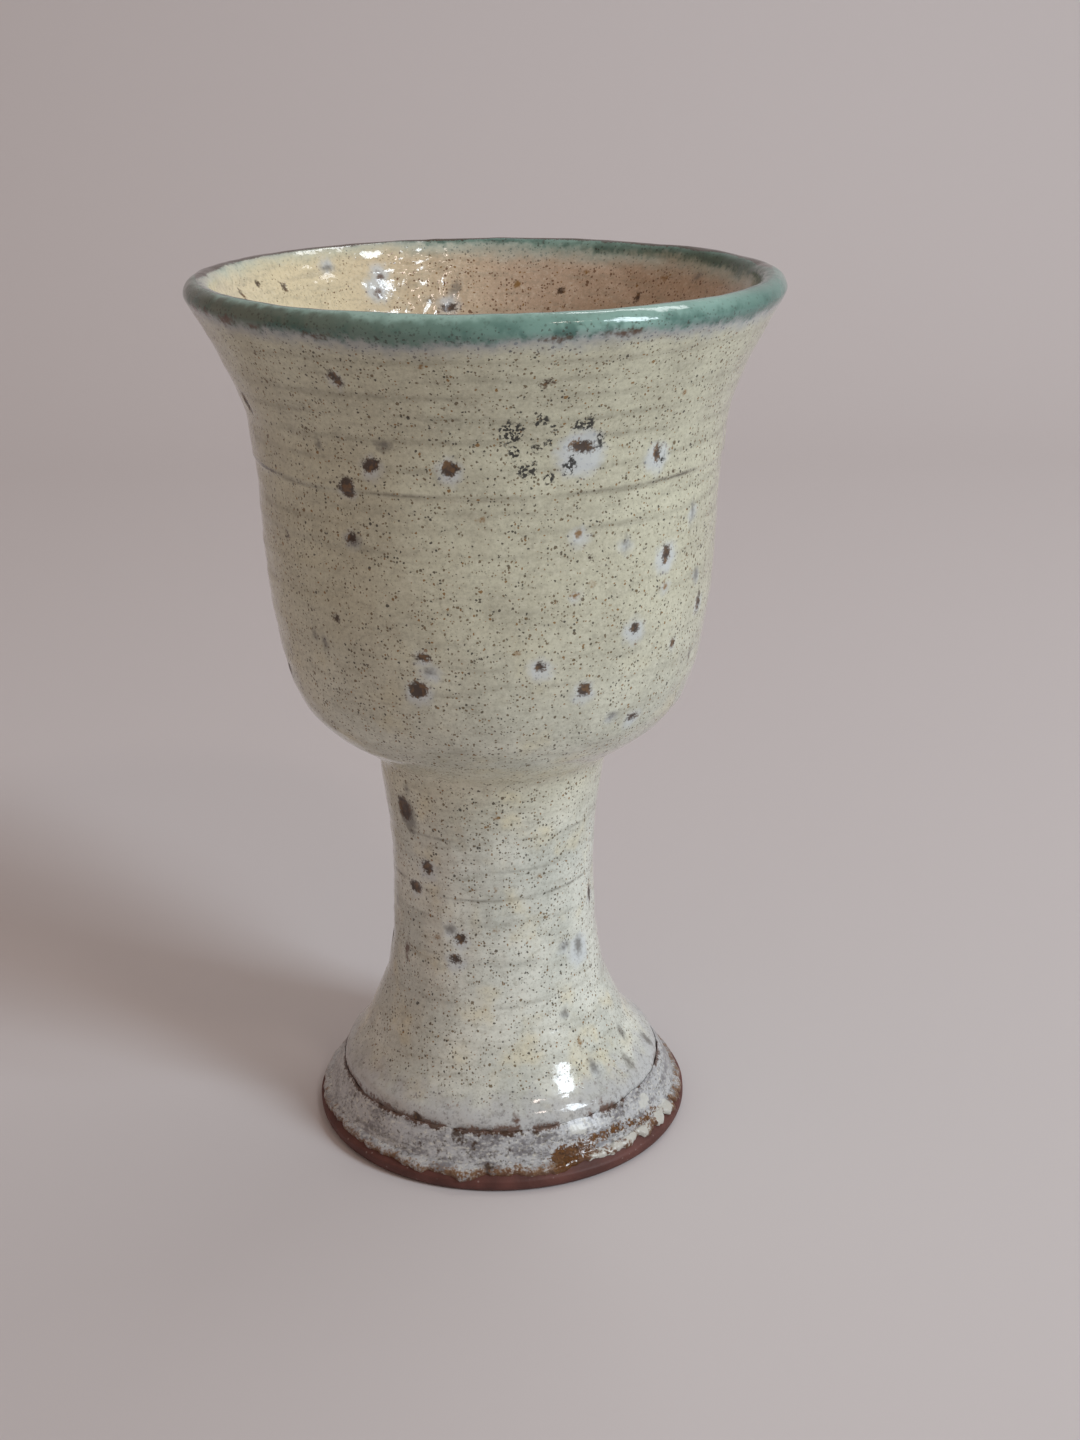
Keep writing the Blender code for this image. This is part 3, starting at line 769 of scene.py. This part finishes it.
    # Near the groove the glaze curdles into the blue-white of the foot, and is stained at its very hem.
    # The marks come last, palest first.
    foot, _ = laid(tree, colours.skirt, colours.skirt_thin, medium, -0.1, 0.7, 0.7, (coarse, fine))
    stain, _ = laid(tree, colours.rust, colours.iron, coarse, -0.3, 0.3, 0.65, (medium,))
    skin = layered(
        tree, skin,
        (colours.speck, shares[0], 0.0, 1.0, 0.7, (), (band, low_down)),
        (colours.speck, flecks, 0.35, 1.1, 0.8, (), (band, low_down, fewer)),
        (colours.crest, fields["bare"], -0.25, 0.2, 0.9, (fine,)),
        (foot, height, 17.0, 11.5, 0.8, (coarse, broad, broad, broad)),
        (stain, fields["hem"], 1.25, 0.1, 0.9, (medium, coarse, fine)),
        (colours.halo, fields["halo"], -0.6, 1.9, 0.75, (coarse,)),
        (colours.smudge, fields["grey"], -0.8, 0.8, 0.8, (medium,)),
        (colours.ochre, fields["ochre"], -0.3, 0.4, 0.9, (medium,)),
        (colours.rust, fields["rust"], -0.4, 0.7, 0.85, (coarse, medium)),
    )
    melt, _ = laid(tree, colours.iron, colours.iron_pale, coarse, -0.1, 0.5, 0.9, (medium,))
    skin, iron = laid(tree, skin, melt, fields["iron"], -0.45, 0.2, 0.95, (medium, fine))
    grains = add(tree, "TexVoronoi", {"Vector": bent, "Scale": 1 / CRYSTAL_SIZE})
    grain_chance = add(tree, "SeparateColor", {0: grains.outputs["Color"]})
    grown = add(tree, "MapRange", {0: grain_chance, 1: 0.42, 2: 0.5})
    ragged_by = coarse, medium
    skin, crust = laid(tree, skin, colours.crust, fields["crust"], -0.3, 0.2, 0.95, ragged_by, (grown,))

    dry = add(tree, "Math", {0: iron, 1: crust}, operation="MAXIMUM")
    rough = add(tree, "MapRange", {0: dry, 3: 0.1, 4: 0.32})
    tree.links.new(rough.outputs[0], shader.inputs["Roughness"])
    peel = add(tree, "TexNoise", {"Vector": mm, "Scale": 1 / PEEL_SIZE, "Detail": 2.0})
    lumpy = add(tree, "MapRange", {0: inside, 3: PEEL_DEPTH, 4: INNER_PEEL_DEPTH})
    relief = add(tree, "Math", {0: peel, 1: lumpy}, operation="MULTIPLY")
    for share, depth in ((shares[0], -0.008), (dark_line, -0.05), (iron, -0.03), (crust, 0.03)):
        relief = add(tree, "Math", {0: share, 1: depth, 2: relief}, operation="MULTIPLY_ADD")
    finish_skin(tree, shader, skin, relief)
    return material


def fired_clay(name, colours):
    """Red stoneware, turned on the wheel and left bare: a matt, dark red-brown skin with turning lines."""
    material, tree, shader = new_material(name, colours.clay, 0.62)
    mm = place_in_mm(tree)
    cloud = add(tree, "TexNoise", {"Vector": mm, "Scale": 1 / CLAY_CLOUD_SIZE, "Detail": 4.0})
    share = add(tree, "MapRange", {0: cloud, 1: 0.35, 2: 0.65})
    tones = {6: rgba(colours.clay), 7: rgba(colours.clay_dark)}
    skin = add(tree, "Mix", {0: share, **tones}, data_type="RGBA")
    grit = add(tree, "TexVoronoi", {"Vector": mm, "Scale": 1 / GRIT_SPACING})
    pale = add(tree, "MapRange", {0: grit.outputs["Distance"], 1: 0.14, 2: 0.08, 4: 0.6})
    skin = add(tree, "Mix", {0: pale, 6: skin, 7: rgba(colours.grit)}, data_type="RGBA")
    lines = add(tree, "VectorMath", {0: mm, 1: (0.06, 0.06, 2.6)}, operation="MULTIPLY")
    turning = add(tree, "TexNoise", {"Vector": lines, "Scale": 1.0, "Detail": 2.0})
    turning_mm = add(tree, "Math", {0: turning, 1: 0.1}, operation="MULTIPLY")
    grain = add(tree, "TexNoise", {"Vector": mm, "Scale": 1 / GRAIN_SIZE, "Detail": 2.0})
    both = add(tree, "Math", {0: grain, 1: 0.05, 2: turning_mm}, operation="MULTIPLY_ADD")
    finish_skin(tree, shader, skin, both)
    return material


def crawled_glaze(name, colours):
    """The same glaze where it ran thin and crawled over the foot, low in the kiln.

    It gives grey-white curds with blue-grey between them, drawn out along the wheel's turn, brown
    where the clay shows through, an ochre fringe at its lower edge and one glassy amber patch.
    """
    material, tree, shader = new_material(name, colours.skirt, 0.3)
    mm = place_in_mm(tree)
    names = ("thin", "edge", "amber", "flake", "turning", "iron")
    fields = {f: add(tree, "Attribute", attribute_name=f).outputs["Fac"] for f in names}
    coarse, medium = wander(tree, mm, 1.5, 0.5, 3.0), wander(tree, mm, 0.7, 0.4, 3.0)
    fine, pits = wander(tree, mm, 0.35, 0.3, 3.0), wander(tree, mm, 0.6, 1.0, 4.0)
    drawn = add(tree, "VectorMath", {0: mm, 1: (0.45, 0.45, 1.0)}, operation="MULTIPLY")
    zones, curds = wander(tree, drawn, 2.2, 0.5, 4.0), wander(tree, drawn, 0.4, 0.5, 3.0)
    stain, _ = laid(tree, colours.rust, colours.iron, coarse, -0.3, 0.3, 0.65, (medium,))
    amber, _ = laid(tree, colours.amber, colours.fringe, coarse, 0.0, 0.6, 0.9, (medium, fine))
    amber, _ = laid(tree, amber, colours.iron, pits, 0.0, 0.8, 0.75)
    right = add(tree, "SeparateXYZ", {0: mm}).outputs["X"]
    greyer = add(tree, "MapRange", {0: right, 1: -28.0, 2: 0.0, 3: 0.5, 4: 0.9})
    skin = layered(
        tree, colours.skirt,
        (colours.skirt_thin, zones, -0.35, 0.7, 1.0, (medium,), (greyer,)),
        (colours.gleam, curds, 0.0, -0.6, 0.5),
        (colours.skirt_thin, curds, 0.0, 0.6, 0.6, (zones,)),
        (colours.smudge, fields["turning"], 0.2, 1.1, 0.45, (medium,)),
        (colours.smudge, pits, 0.3, 0.9, 0.85, (fine,)),
        (stain, fields["thin"], 0.9, 1.6, 0.9, (coarse, medium, fine)),
        (colours.fringe, fields["edge"], 1.3, 0.3, 0.9, (coarse, medium, fine)),
        (colours.rust, fields["edge"], 0.6, 0.0, 0.8, (medium, fine)),
        (amber, fields["amber"], -0.2, 0.5, 0.97, (coarse, medium, fine)),
        (colours.flake, fields["flake"], -0.1, 0.3, 0.8, (medium,)),
        (colours.iron, fields["iron"], -0.4, 0.5, 0.9, (coarse, medium)),
    )
    glassy = add(tree, "MapRange", {0: fields["amber"], 1: -0.2, 2: 0.5, 3: 0.28, 4: 0.12})
    tree.links.new(glassy.outputs[0], shader.inputs["Roughness"])
    peel = add(tree, "TexNoise", {"Vector": mm, "Scale": 1 / 0.9, "Detail": 3.0})
    finish_skin(tree, shader, skin, peel, 0.06 * MM)
    return material


# Foot

SKIRT_RINGS = 50
FOOT_AROUND, FOOT_AROUND_STEP = FOOT_RING = 720, 0.3
FOOT_FULLNESS = 0.6
SOLE_OUT, SOLE_IN = 34.0, 29.8  # the radii between which the underside of the foot ring is felt
# The clay's steps around, and the pitch and depth of the finger rings in the stem's hollow.
CLAY_AROUND, FINGER_PITCH, FINGER_DEPTH = 384, 7.2, 0.22
SKIRT_TOP = 9.6
GROOVE_FROM, GROOVE_SLOPE = 9.3, 0.63
SKIRT_THICKNESS, SKIRT_BACK, FLAKES_RAISED = 0.75, 0.3, 0.25
# The dark line that a tool turned into the skirt: its height, and by azimuth its strength and the half
# width in degrees.
TURNING_HEIGHT = 5.3
TURNING_LINE = ((-48, 1.0, 22), (-12, 0.6, 6), (150, 0.9, 40))
# The skirt's lower edge: azimuth and height.
SKIRT_EDGES = (
    (-150, 3.1), (-110, 2.6), (-75, 2.8), (-50, 3), (-39, 2.9), (-21, 2.7), (-13, 2.3), (-5, 3.1), (2, 3),
    (10, 2.7), (18, 2.8), (26, 3.2), (35, 2.8), (45, 3.1), (57, 2.7), (70, 2.7), (100, 3), (150, 2.6),
)
# Iron spots on the skirt, as among the marks.
SKIRT_SPOTS = (
    (-15.8, 8.8, 0.8, 0.7), (-14.6, 8, 0.6, 0.6), (-9.5, 7.6, 0.45, 0.7), (0.5, 9.3, 1.5, 0.45),
    (5, 9.5, 0.8, 0.35), (10.5, 9.2, 0.6, 0.4), (-62, 7, 0.35, 0.8), (-20, 5.7, 0.5, 0.3),
    (-3.5, 5.9, 0.45, 0.35), (2, 6.5, 0.4, 0.3), (-28, 6.2, 0.35, 0.3), (-5, 4.2, 0.6, 0.6),
    (40, 9.2, 1.1, 0.4, 12), (46.8, 9, 0.5, 0.4), (110, 7, 0.6, 0.5), (160, 8.1, 0.8, 0.6),
    (-140, 6, 0.5, 0.8), (-100, 7.7, 0.6, 0.5),
)
# Glassy amber pools, and raised pale flakes, on the skirt: azimuth, height, half width and half height.
AMBER_POOLS = (
    (20, 4.3, 3.4, 2.2), (25.5, 5, 3, 1.7), (31, 6.1, 3.2, 0.8), (38, 5.9, 3.4, 0.8),
    (44.5, 5.6, 2.6, 0.7), (54, 4.8, 3.6, 0.7),
)
FLAKES = (
    (32, 3.1, 2.4, 0.6), (38, 3.3, 2, 0.6), (44, 3.5, 2.2, 0.6), (50, 3.5, 2.4, 0.7), (60, 3.3, 2.2, 1.2),
    (65.5, 3.8, 1.8, 1.4), (56.5, 7.4, 1.8, 1.3), (26, 8.2, 2.2, 0.9),
)


def spread_of(pools, azimuth, height):
    """How many mm each point of the foot lies inside the nearest of some oval pools."""
    deep = [
        (1 - np.hypot((azimuth - middle) * 0.58 / wide, (height - level) / tall)) * tall
        for middle, level, wide, tall in pools
    ]
    return np.maximum.reduce(deep)


@functools.cache
def clay_outline():
    """The stem's clay outline, down its outside from the top, under the foot ring and up its hollow."""
    top = node_span("stem_body")[1] - 0.05
    down = np.concatenate([np.arange(top, 14, -FEEL_STEP), np.arange(14, 0.05, -0.1)])
    across = np.arange(SOLE_OUT, SOLE_IN, -0.3)
    up = np.concatenate([np.arange(0.8, 3, 0.2), np.arange(3, top, FEEL_STEP)])
    under = felt("stem_body", [(r, -5) for r in across], [(r, 50) for r in across])
    return felt_from_outside("stem_body", down), under, felt_from_axis("stem_body", up)


def foot_fullness(height):
    """How much fuller the foot's lowest edge is than the solid's."""
    return FOOT_FULLNESS * (1 - smooth_step(0, 4, height))


def clay_radius(height):
    outside = clay_outline()[0][::-1]
    return np.interp(height, outside[:, 1], outside[:, 0]) + foot_fullness(height)


def filled_radius(height):
    """The clay's outside as if the groove were filled, which the crawled glaze lies on."""
    return clay_radius(np.minimum(height, GROOVE_FROM)) - GROOVE_SLOPE * np.maximum(height - GROOVE_FROM, 0)


def skirt_wall():
    """The crawled glaze over the foot: from its thick, ragged lower edge to its wiped upper edge."""
    rings = SKIRT_RINGS
    share = (1 - np.arange(rings) / (rings - 1))[:, None]
    angle = turns(FOOT_AROUND)[None, :]
    azimuth = from_front(np.degrees(angle))
    bridge = groove_bridge(azimuth)
    top = SKIRT_TOP + 0.15 * bridge + 0.06 * ragged(FOOT_RING, 1.0, 51)
    edge = np.interp(azimuth, *np.transpose(SKIRT_EDGES), period=360)
    edge = edge + 0.09 * ragged(FOOT_RING, 1.1, 52)
    crusty = 0.08 + 0.22 * smooth_step(28, 60, azimuth) * (1 - smooth_step(70, 90, azimuth))
    edge = edge + crusty * ragged(FOOT_RING, 0.4, 53)
    height = top + (edge - top) * share
    spacing = (7.5 / rings, FOOT_AROUND_STEP)
    curds = swells((rings, FOOT_AROUND), spacing, (0.4, 0.8), 55)
    lumps = swells((rings, FOOT_AROUND), spacing, (1.0, 2.6), 56)
    from_edge = np.abs(height - edge)
    from_top = np.abs(top - height)
    upper = np.clip(from_top / 0.9 + 0.35 + bridge, 0, 1)
    lower = np.clip(from_edge / 0.5, 0, 1)
    thickness = SKIRT_THICKNESS * np.sqrt(1 - (1 - upper) ** 2) * np.sqrt(1 - (1 - lower) ** 2)
    thickness = thickness * (0.9 + 0.06 * lumps) + 0.015 * curds * upper * lower
    bead = 0.12 * np.exp(-(((from_edge - 0.6) / 0.5) ** 2))
    thickness = np.maximum(thickness + bead * lower, 0.02)
    base = placed(filled_radius(height), height, angle)
    out = normals_of(base)
    points = base + out * thickness[..., None]
    fields = {
        "turning": bumps_around(azimuth, TURNING_LINE) * np.exp(-(((height - TURNING_HEIGHT) / 0.4) ** 2)),
        "thin": 1.9 - 1.6 * from_top - 2.2 * bridge + 1.2 * bumps_around(azimuth, GROOVE_STAINS),
        "edge": from_edge + 0.5 * (1 - smooth_step(-30, 0, azimuth)),
        "amber": spread_of(AMBER_POOLS, azimuth, height),
        "flake": spread_of(FLAKES, azimuth, height) + 0.14 * swells(curds.shape, spacing, (0.3, 0.4), 57),
    }
    raised = FLAKES_RAISED * smooth_step(-0.15, 0.3, fields["flake"]) * (1 - smooth_step(5, 6.5, height))
    points = points + out * raised[..., None]
    spots = mark_fields(({"iron": SKIRT_SPOTS},), clay_radius(height), azimuth, height, lambda level: level)
    fields["iron"] = spots["iron"]
    fields = {k: v + 0 * height for k, v in fields.items()}
    return {"points": points, "normals": normals_of(points), "fields": fields}


def clay_wall():
    """The stem's clay as one closed loop of rings, from the joint to the foot ring and up the hollow."""
    outside, under, hollow = clay_outline()
    parts = (
        even(outside[outside[:, 1] > 12], 1.5),
        eased(outside[outside[:, 1] <= 12], 0.12, 0.06)[::4],
        even(under, 0.4),
        even(hollow[hollow[:, 1] < 4], 0.4),
        eased(hollow[hollow[:, 1] >= 4], 1.5)[::6],
    )
    outline = np.concatenate(parts)
    radius, height, angle = turned_grid(outline, CLAY_AROUND)
    first_under, first_hollow = sum(map(len, parts[:2])), sum(map(len, parts[:4]))
    ring = np.arange(len(outline))[:, None]
    fuller = (ring < first_under) * foot_fullness(height)
    in_hollow = ring >= first_hollow
    along = lengths_along(outline)[:, None]
    fingers = np.sin(math.tau * along / FINGER_PITCH - angle) * FINGER_DEPTH * smooth_step(6, 16, height)
    bumps = 0.03 * swells(radius.shape, (0.6, 0.5), (1.5, 2.5), 61) * smooth_step(0.2, 1.5, height)
    radius = radius + fingers * in_hollow + fuller + bumps * (1 - in_hollow)
    points = placed(radius, height, angle)
    return points[::-1], -loop_normals(points)[::-1]


class GobletSizes(bpy.types.PropertyGroup):
    """Sizes of the finish, which the solids don't hold."""

    glaze_thickness: bpy.props.FloatProperty(
        name="Glaze thickness", description="Depth of the glaze", default=0.0005, unit="LENGTH",
    )
    floor_width: bpy.props.FloatProperty(
        name="Floor width", description="Width of the sheet under the goblet", default=3.0, unit="LENGTH",
    )
    view_distance: bpy.props.FloatProperty(
        name="Camera distance", description="From the goblet's axis", default=0.33087, unit="LENGTH",
    )
    view_height: bpy.props.FloatProperty(
        name="Camera height", description="Above the table", default=0.20236, unit="LENGTH",
    )


def colour_property(label, about, code):
    return bpy.props.FloatVectorProperty(
        name=label, description=about, default=linear(code), subtype="COLOR",
    )


class GobletColours(bpy.types.PropertyGroup):
    """Colours of the glazes and the clay."""

    cream: colour_property("Cream", "Glaze on the bowl where it is thick", "#cacbb3")
    cream_thin: colour_property("Thin cream", "Glaze on the bowl where it is thin", "#bfbfa8")
    gleam: colour_property("Gleam", "Palest milk in the fine mottle", "#e4e4d4")
    stem_milk: colour_property("Stem milk", "Glaze on the stem where it is thick", "#dbe0d5")
    stem_thin: colour_property("Thin stem milk", "Glaze on the stem where it is thin", "#c4cac0")
    pool: colour_property("Pool", "Warm patches where the glaze pooled", "#ddd6b3")
    streak: colour_property("Streak", "Grey streaks along the throwing rings", "#8d8b7b")
    line: colour_property("Line", "Dark lines left by the thrower's tool", "#544f43")
    liner: colour_property("Liner", "Glaze in the bowl at its left", "#e0d4b0")
    # Partly painted shade: the right of the bowl's inside is darker than its glaze alone would be.
    liner_thin_and_shaded: colour_property("Thin liner", "Glaze in the bowl at its right", "#bea790")
    speck: colour_property("Speck", "Dark iron specks", "#37342b")
    speck_olive: colour_property("Olive speck", "Paler iron specks", "#6b5d42")
    speck_brown: colour_property("Brown speck", "Iron specks inside the bowl", "#6d4a31")
    bleed: colour_property("Bleed", "Grey-blue below the green", "#9ca4ab")
    copper: colour_property("Copper green", "Green of the lip", "#6c9287")
    copper_dull: colour_property("Dull copper", "Green of the lip at its left", "#68766a")
    copper_deep: colour_property("Deep copper", "Green of the lip where it pooled", "#426960")
    # Also laid over the right of the lip as a painted highlight.
    copper_pale_and_highlight: colour_property("Pale copper", "Green of the lip where it is thin", "#a9cec3")
    crest: colour_property("Crest", "Bare brown line along the top of the lip", "#4c3a30")
    halo: colour_property("Halo", "Bleached glaze around iron spots", "#cad3d6")
    smudge: colour_property("Smudge", "Grey smudges", "#67655e")
    ochre: colour_property("Ochre", "Small orange-brown spots", "#84622f")
    rust: colour_property("Rust", "Clay showing through thin glaze", "#5a3b29")
    iron: colour_property("Iron", "Melted iron spots", "#382412")
    iron_pale: colour_property("Pale iron", "Melted iron where it is thin", "#6f4f26")
    crust: colour_property("Crust", "Black crystals beside iron spots", "#262724")
    skirt: colour_property("Skirt", "Crawled glaze on the foot", "#b7bbbc")
    skirt_thin: colour_property("Thin skirt", "Crawled glaze where it is thin", "#6f6e71")
    flake: colour_property("Flakes", "Thick flakes of glaze on the skirt", "#cacdc5")
    fringe: colour_property("Fringe", "Ochre along the skirt's lower edge", "#735026")
    amber: colour_property("Amber", "Glassy patch on the foot", "#5b3917")
    clay: colour_property("Clay", "Bare fired clay", "#633a32")
    clay_dark: colour_property("Dark clay", "Bare fired clay in patches", "#4e2b24")
    grit: colour_property("Grit", "Pale grains in the clay", "#94807a")
    sheet: colour_property("Sheet", "Floor and backdrop", "#cfcccc")


def coat_stretch(context, stretch, node, look, closed=True):
    """Coats one stretch of the thrown wall, counted from the groove, with the speckled glaze."""
    scene = context.scene
    wall, ends = thrown_wall()
    start, stop = (0, *ends)[stretch : stretch + 2]
    piece = coat_object(f"{node}_coat", wall, start, stop, scene.goblet_sizes.glaze_thickness / MM, closed)
    dress(piece, iron_speckled_glaze(look, scene.goblet_colours), node)
    return {"FINISHED"}


class GOBLET_OT_stem_glaze(bpy.types.Operator):
    """Coat the stem with the cream glaze, down to the wiped groove."""

    bl_idname = "goblet.stem_glaze"
    bl_label = "Stem glaze"

    def execute(self, context):
        return coat_stretch(context, 0, "stem_glaze", "stem_stoneware_glaze")


class GOBLET_OT_bowl_glaze(bpy.types.Operator):
    """Coat the outside of the bowl with the cream glaze."""

    bl_idname = "goblet.bowl_glaze"
    bl_label = "Bowl glaze"

    def execute(self, context):
        return coat_stretch(context, 1, "bowl_glaze", "cream_stoneware_glaze")


class GOBLET_OT_lip_glaze(bpy.types.Operator):
    """Coat the lip with the copper green glaze."""

    bl_idname = "goblet.lip_glaze"
    bl_label = "Lip glaze"

    def execute(self, context):
        return coat_stretch(context, 2, "lip_glaze", "copper_green_glaze")


class GOBLET_OT_liner_glaze(bpy.types.Operator):
    """Line the bowl with the yellower liner glaze."""

    bl_idname = "goblet.liner_glaze"
    bl_label = "Liner glaze"

    def execute(self, context):
        look = "liner_stoneware_glaze"
        return coat_stretch(context, 3, "liner_glaze", look, closed=False)


class GOBLET_OT_foot_glaze(bpy.types.Operator):
    """Coat the skirt of the foot with the crawled glaze."""

    bl_idname = "goblet.foot_glaze"
    bl_label = "Foot glaze"

    def execute(self, context):
        wall = skirt_wall()
        piece = coat_object("foot_glaze_coat", wall, 0, SKIRT_RINGS - 1, SKIRT_BACK)
        glaze = crawled_glaze("crawled_foot_glaze", context.scene.goblet_colours)
        dress(piece, glaze, "foot_glaze")
        return {"FINISHED"}


class GOBLET_OT_stem_clay(bpy.types.Operator):
    """Turn the stem's clay, with its bare foot, groove and thrown hollow."""

    bl_idname = "goblet.stem_clay"
    bl_label = "Stem clay"

    def execute(self, context):
        rings, normals = clay_wall()
        piece = skin_object("stem_clay", rings, normals, {}, closed=True)
        clay = fired_clay("bare_red_stoneware", context.scene.goblet_colours)
        dress(piece, clay, "stem_body")
        return {"FINISHED"}


class GOBLET_OT_bowl_clay(bpy.types.Operator):
    """Give the bowl's clay solid, which the glazes cover, its finish."""

    bl_idname = "goblet.bowl_clay"
    bl_label = "Bowl clay"

    def execute(self, context):
        materials = frame["nodes"]["bowl_body"].data.materials
        clay = fired_clay("bowl_red_stoneware", context.scene.goblet_colours)
        if len(materials):
            materials[0] = clay
        else:
            materials.append(clay)
        return {"FINISHED"}


BEAD_RING = (256, 0.4)  # steps around the bead of slip, and their length


class GOBLET_OT_slip_joint(bpy.types.Operator):
    """Squeeze a bead of slip out between the stem and the bowl."""

    bl_idname = "goblet.slip_joint"
    bl_label = "Slip joint"

    def execute(self, context):
        low, high, out = node_span("slip_joint")
        inner = felt_from_axis("slip_joint", [(low + high) / 2])[0, 0]
        angle, turn = turns(BEAD_RING[0])[None, :], turns(20)[:, None]
        tall = (high - low) / 2 - 0.05
        radius = (out + inner) / 2 + np.cos(turn) * (out - inner) / 2 + 0 * angle
        squeezed = 0.25 * ragged(BEAD_RING, 1.6, 71) * (np.cos(turn) < 0)
        height = (high + low) / 2 + np.sign(np.sin(turn)) * np.abs(np.sin(turn)) ** 0.5 * tall + 0 * angle
        points = placed(radius - np.abs(squeezed) * 0.4, height, angle)
        piece = skin_object("slip_bead", points, loop_normals(points), {}, closed=True)
        dress(piece, fired_clay("fired_slip", context.scene.goblet_colours), "slip_joint")
        return {"FINISHED"}


# Each lamp's direction from the goblet, distance, width and height in m, power in W and colour.
LAMPS = {
    "window": ((0.735, -0.475, 0.45), 1.3, (0.3, 0.58), 9.6, "#e9f5ff"),
    "window_head": ((0.72, -0.42, 0.80), 1.3, (0.09, 0.12), 0.9, "#e9f5ff"),
    "room_lamp": ((0.42, -0.60, 0.80), 1.3, (0.10, 0.12), 0.8, "#ffeadf"),
    "back_window": ((0.40, 0.42, 0.80), 1.2, (0.9, 0.12), 2.2, "#fbfdff"),
}
LAMPS_AIM = 0.09  # the height on the goblet's axis that they point at, in m
ROOM_COLOUR, ROOM_STRENGTH = "#ffe1d3", 0.365
# The sheet bends up this far behind the goblet, around this radius, to this height, in m.
BEND_AT, BEND_RADIUS, SHEET_TOP = 0.55, 0.35, 2.0
# The camera as solved from the photograph: sensor and lens in mm, and angles in radians.
SENSOR, LENS = 36.0, 47.78
PITCH, YAW, ROLL = 0.35855, 0.0259, -0.00799


class GOBLET_OT_stage(bpy.types.Operator):
    """Lay the floor and backdrop, hang the lamps and set the camera."""

    bl_idname = "goblet.stage"
    bl_label = "Stage"

    def execute(self, context):
        scene = context.scene
        sizes = scene.goblet_sizes
        half = sizes.floor_width / 2
        bend = [(math.sin(t), 1 - math.cos(t)) for t in np.radians(np.arange(0, 91, 6))]
        line = [(BEND_AT + BEND_RADIUS * y, BEND_RADIUS * z) for y, z in bend]
        line = [(-half, 0.0), *line, (BEND_AT + BEND_RADIUS, SHEET_TOP)]
        mesh = bpy.data.meshes.new("sheet")
        points = [(x, y, z) for y, z in line for x in (-half, half)]
        mesh.from_pydata(points, [], [(i, i + 1, i + 3, i + 2) for i in range(0, len(points) - 2, 2)])
        mesh.shade_smooth()
        paper, _, _ = new_material("matt_paper", scene.goblet_colours.sheet, 0.9)
        mesh.materials.append(paper)
        put("sheet", mesh)

        for name, (direction, distance, (wide, tall), power, code) in LAMPS.items():
            light = bpy.data.lights.new(name, "AREA")
            light.shape = "RECTANGLE"
            light.size, light.size_y = wide, tall
            light.energy = power
            light.color = linear(code)
            lamp = put(name, light)
            away = Vector(direction).normalized()
            lamp.location = Vector((0, 0, LAMPS_AIM)) + away * distance
            lamp.rotation_euler = away.to_track_quat("Z", "Y").to_euler()
        world = bpy.data.worlds.new("soft_room")
        world.use_nodes = True
        background = world.node_tree.nodes["Background"]
        background.inputs["Color"].default_value = rgba(linear(ROOM_COLOUR))
        background.inputs["Strength"].default_value = ROOM_STRENGTH
        scene.world = world
        scene.view_settings.view_transform = "Standard"

        data = bpy.data.cameras.new("view")
        data.sensor_width = SENSOR
        data.lens = LENS
        camera = put("view", data)
        level = math.cos(PITCH)
        ahead = Vector((math.sin(YAW) * level, math.cos(YAW) * level, -math.sin(PITCH)))
        right = Vector((math.cos(YAW), -math.sin(YAW), 0))
        up = right.cross(ahead)
        cosine, sine = math.cos(ROLL), math.sin(ROLL)
        right, up = right * cosine + up * sine, up * cosine - right * sine
        turn = Matrix((right, up, -ahead)).transposed().to_4x4()
        camera.matrix_world = Matrix.Translation((0, -sizes.view_distance, sizes.view_height)) @ turn
        scene.camera = camera
        return {"FINISHED"}


OPERATORS = (
    GOBLET_OT_stage,
    GOBLET_OT_bowl_clay,
    GOBLET_OT_stem_clay,
    GOBLET_OT_slip_joint,
    GOBLET_OT_bowl_glaze,
    GOBLET_OT_lip_glaze,
    GOBLET_OT_liner_glaze,
    GOBLET_OT_stem_glaze,
    GOBLET_OT_foot_glaze,
)


class GOBLET_PT_panel(bpy.types.Panel):
    """Lists the goblet's pieces, sizes and colours."""

    bl_idname = "GOBLET_PT_panel"
    bl_label = "Pottery goblet"
    bl_space_type = "VIEW_3D"
    bl_region_type = "UI"
    bl_category = "Goblet"

    def draw(self, context):
        for operator in OPERATORS:
            self.layout.operator(operator.bl_idname)
        for group in (context.scene.goblet_sizes, context.scene.goblet_colours):
            for name in group.__annotations__:
                self.layout.prop(group, name)


CLASSES = (GobletSizes, GobletColours, *OPERATORS, GOBLET_PT_panel)


def register():
    for cls in CLASSES:
        bpy.utils.register_class(cls)
    bpy.types.Scene.goblet_sizes = bpy.props.PointerProperty(type=GobletSizes)
    bpy.types.Scene.goblet_colours = bpy.props.PointerProperty(type=GobletColours)


def unregister():
    del bpy.types.Scene.goblet_colours
    del bpy.types.Scene.goblet_sizes
    for cls in reversed(CLASSES):
        bpy.utils.unregister_class(cls)


def main():
    register()
    for operator in OPERATORS:
        group, name = operator.bl_idname.split(".")
        getattr(getattr(bpy.ops, group), name)()


if __name__ == "__main__":
    main()
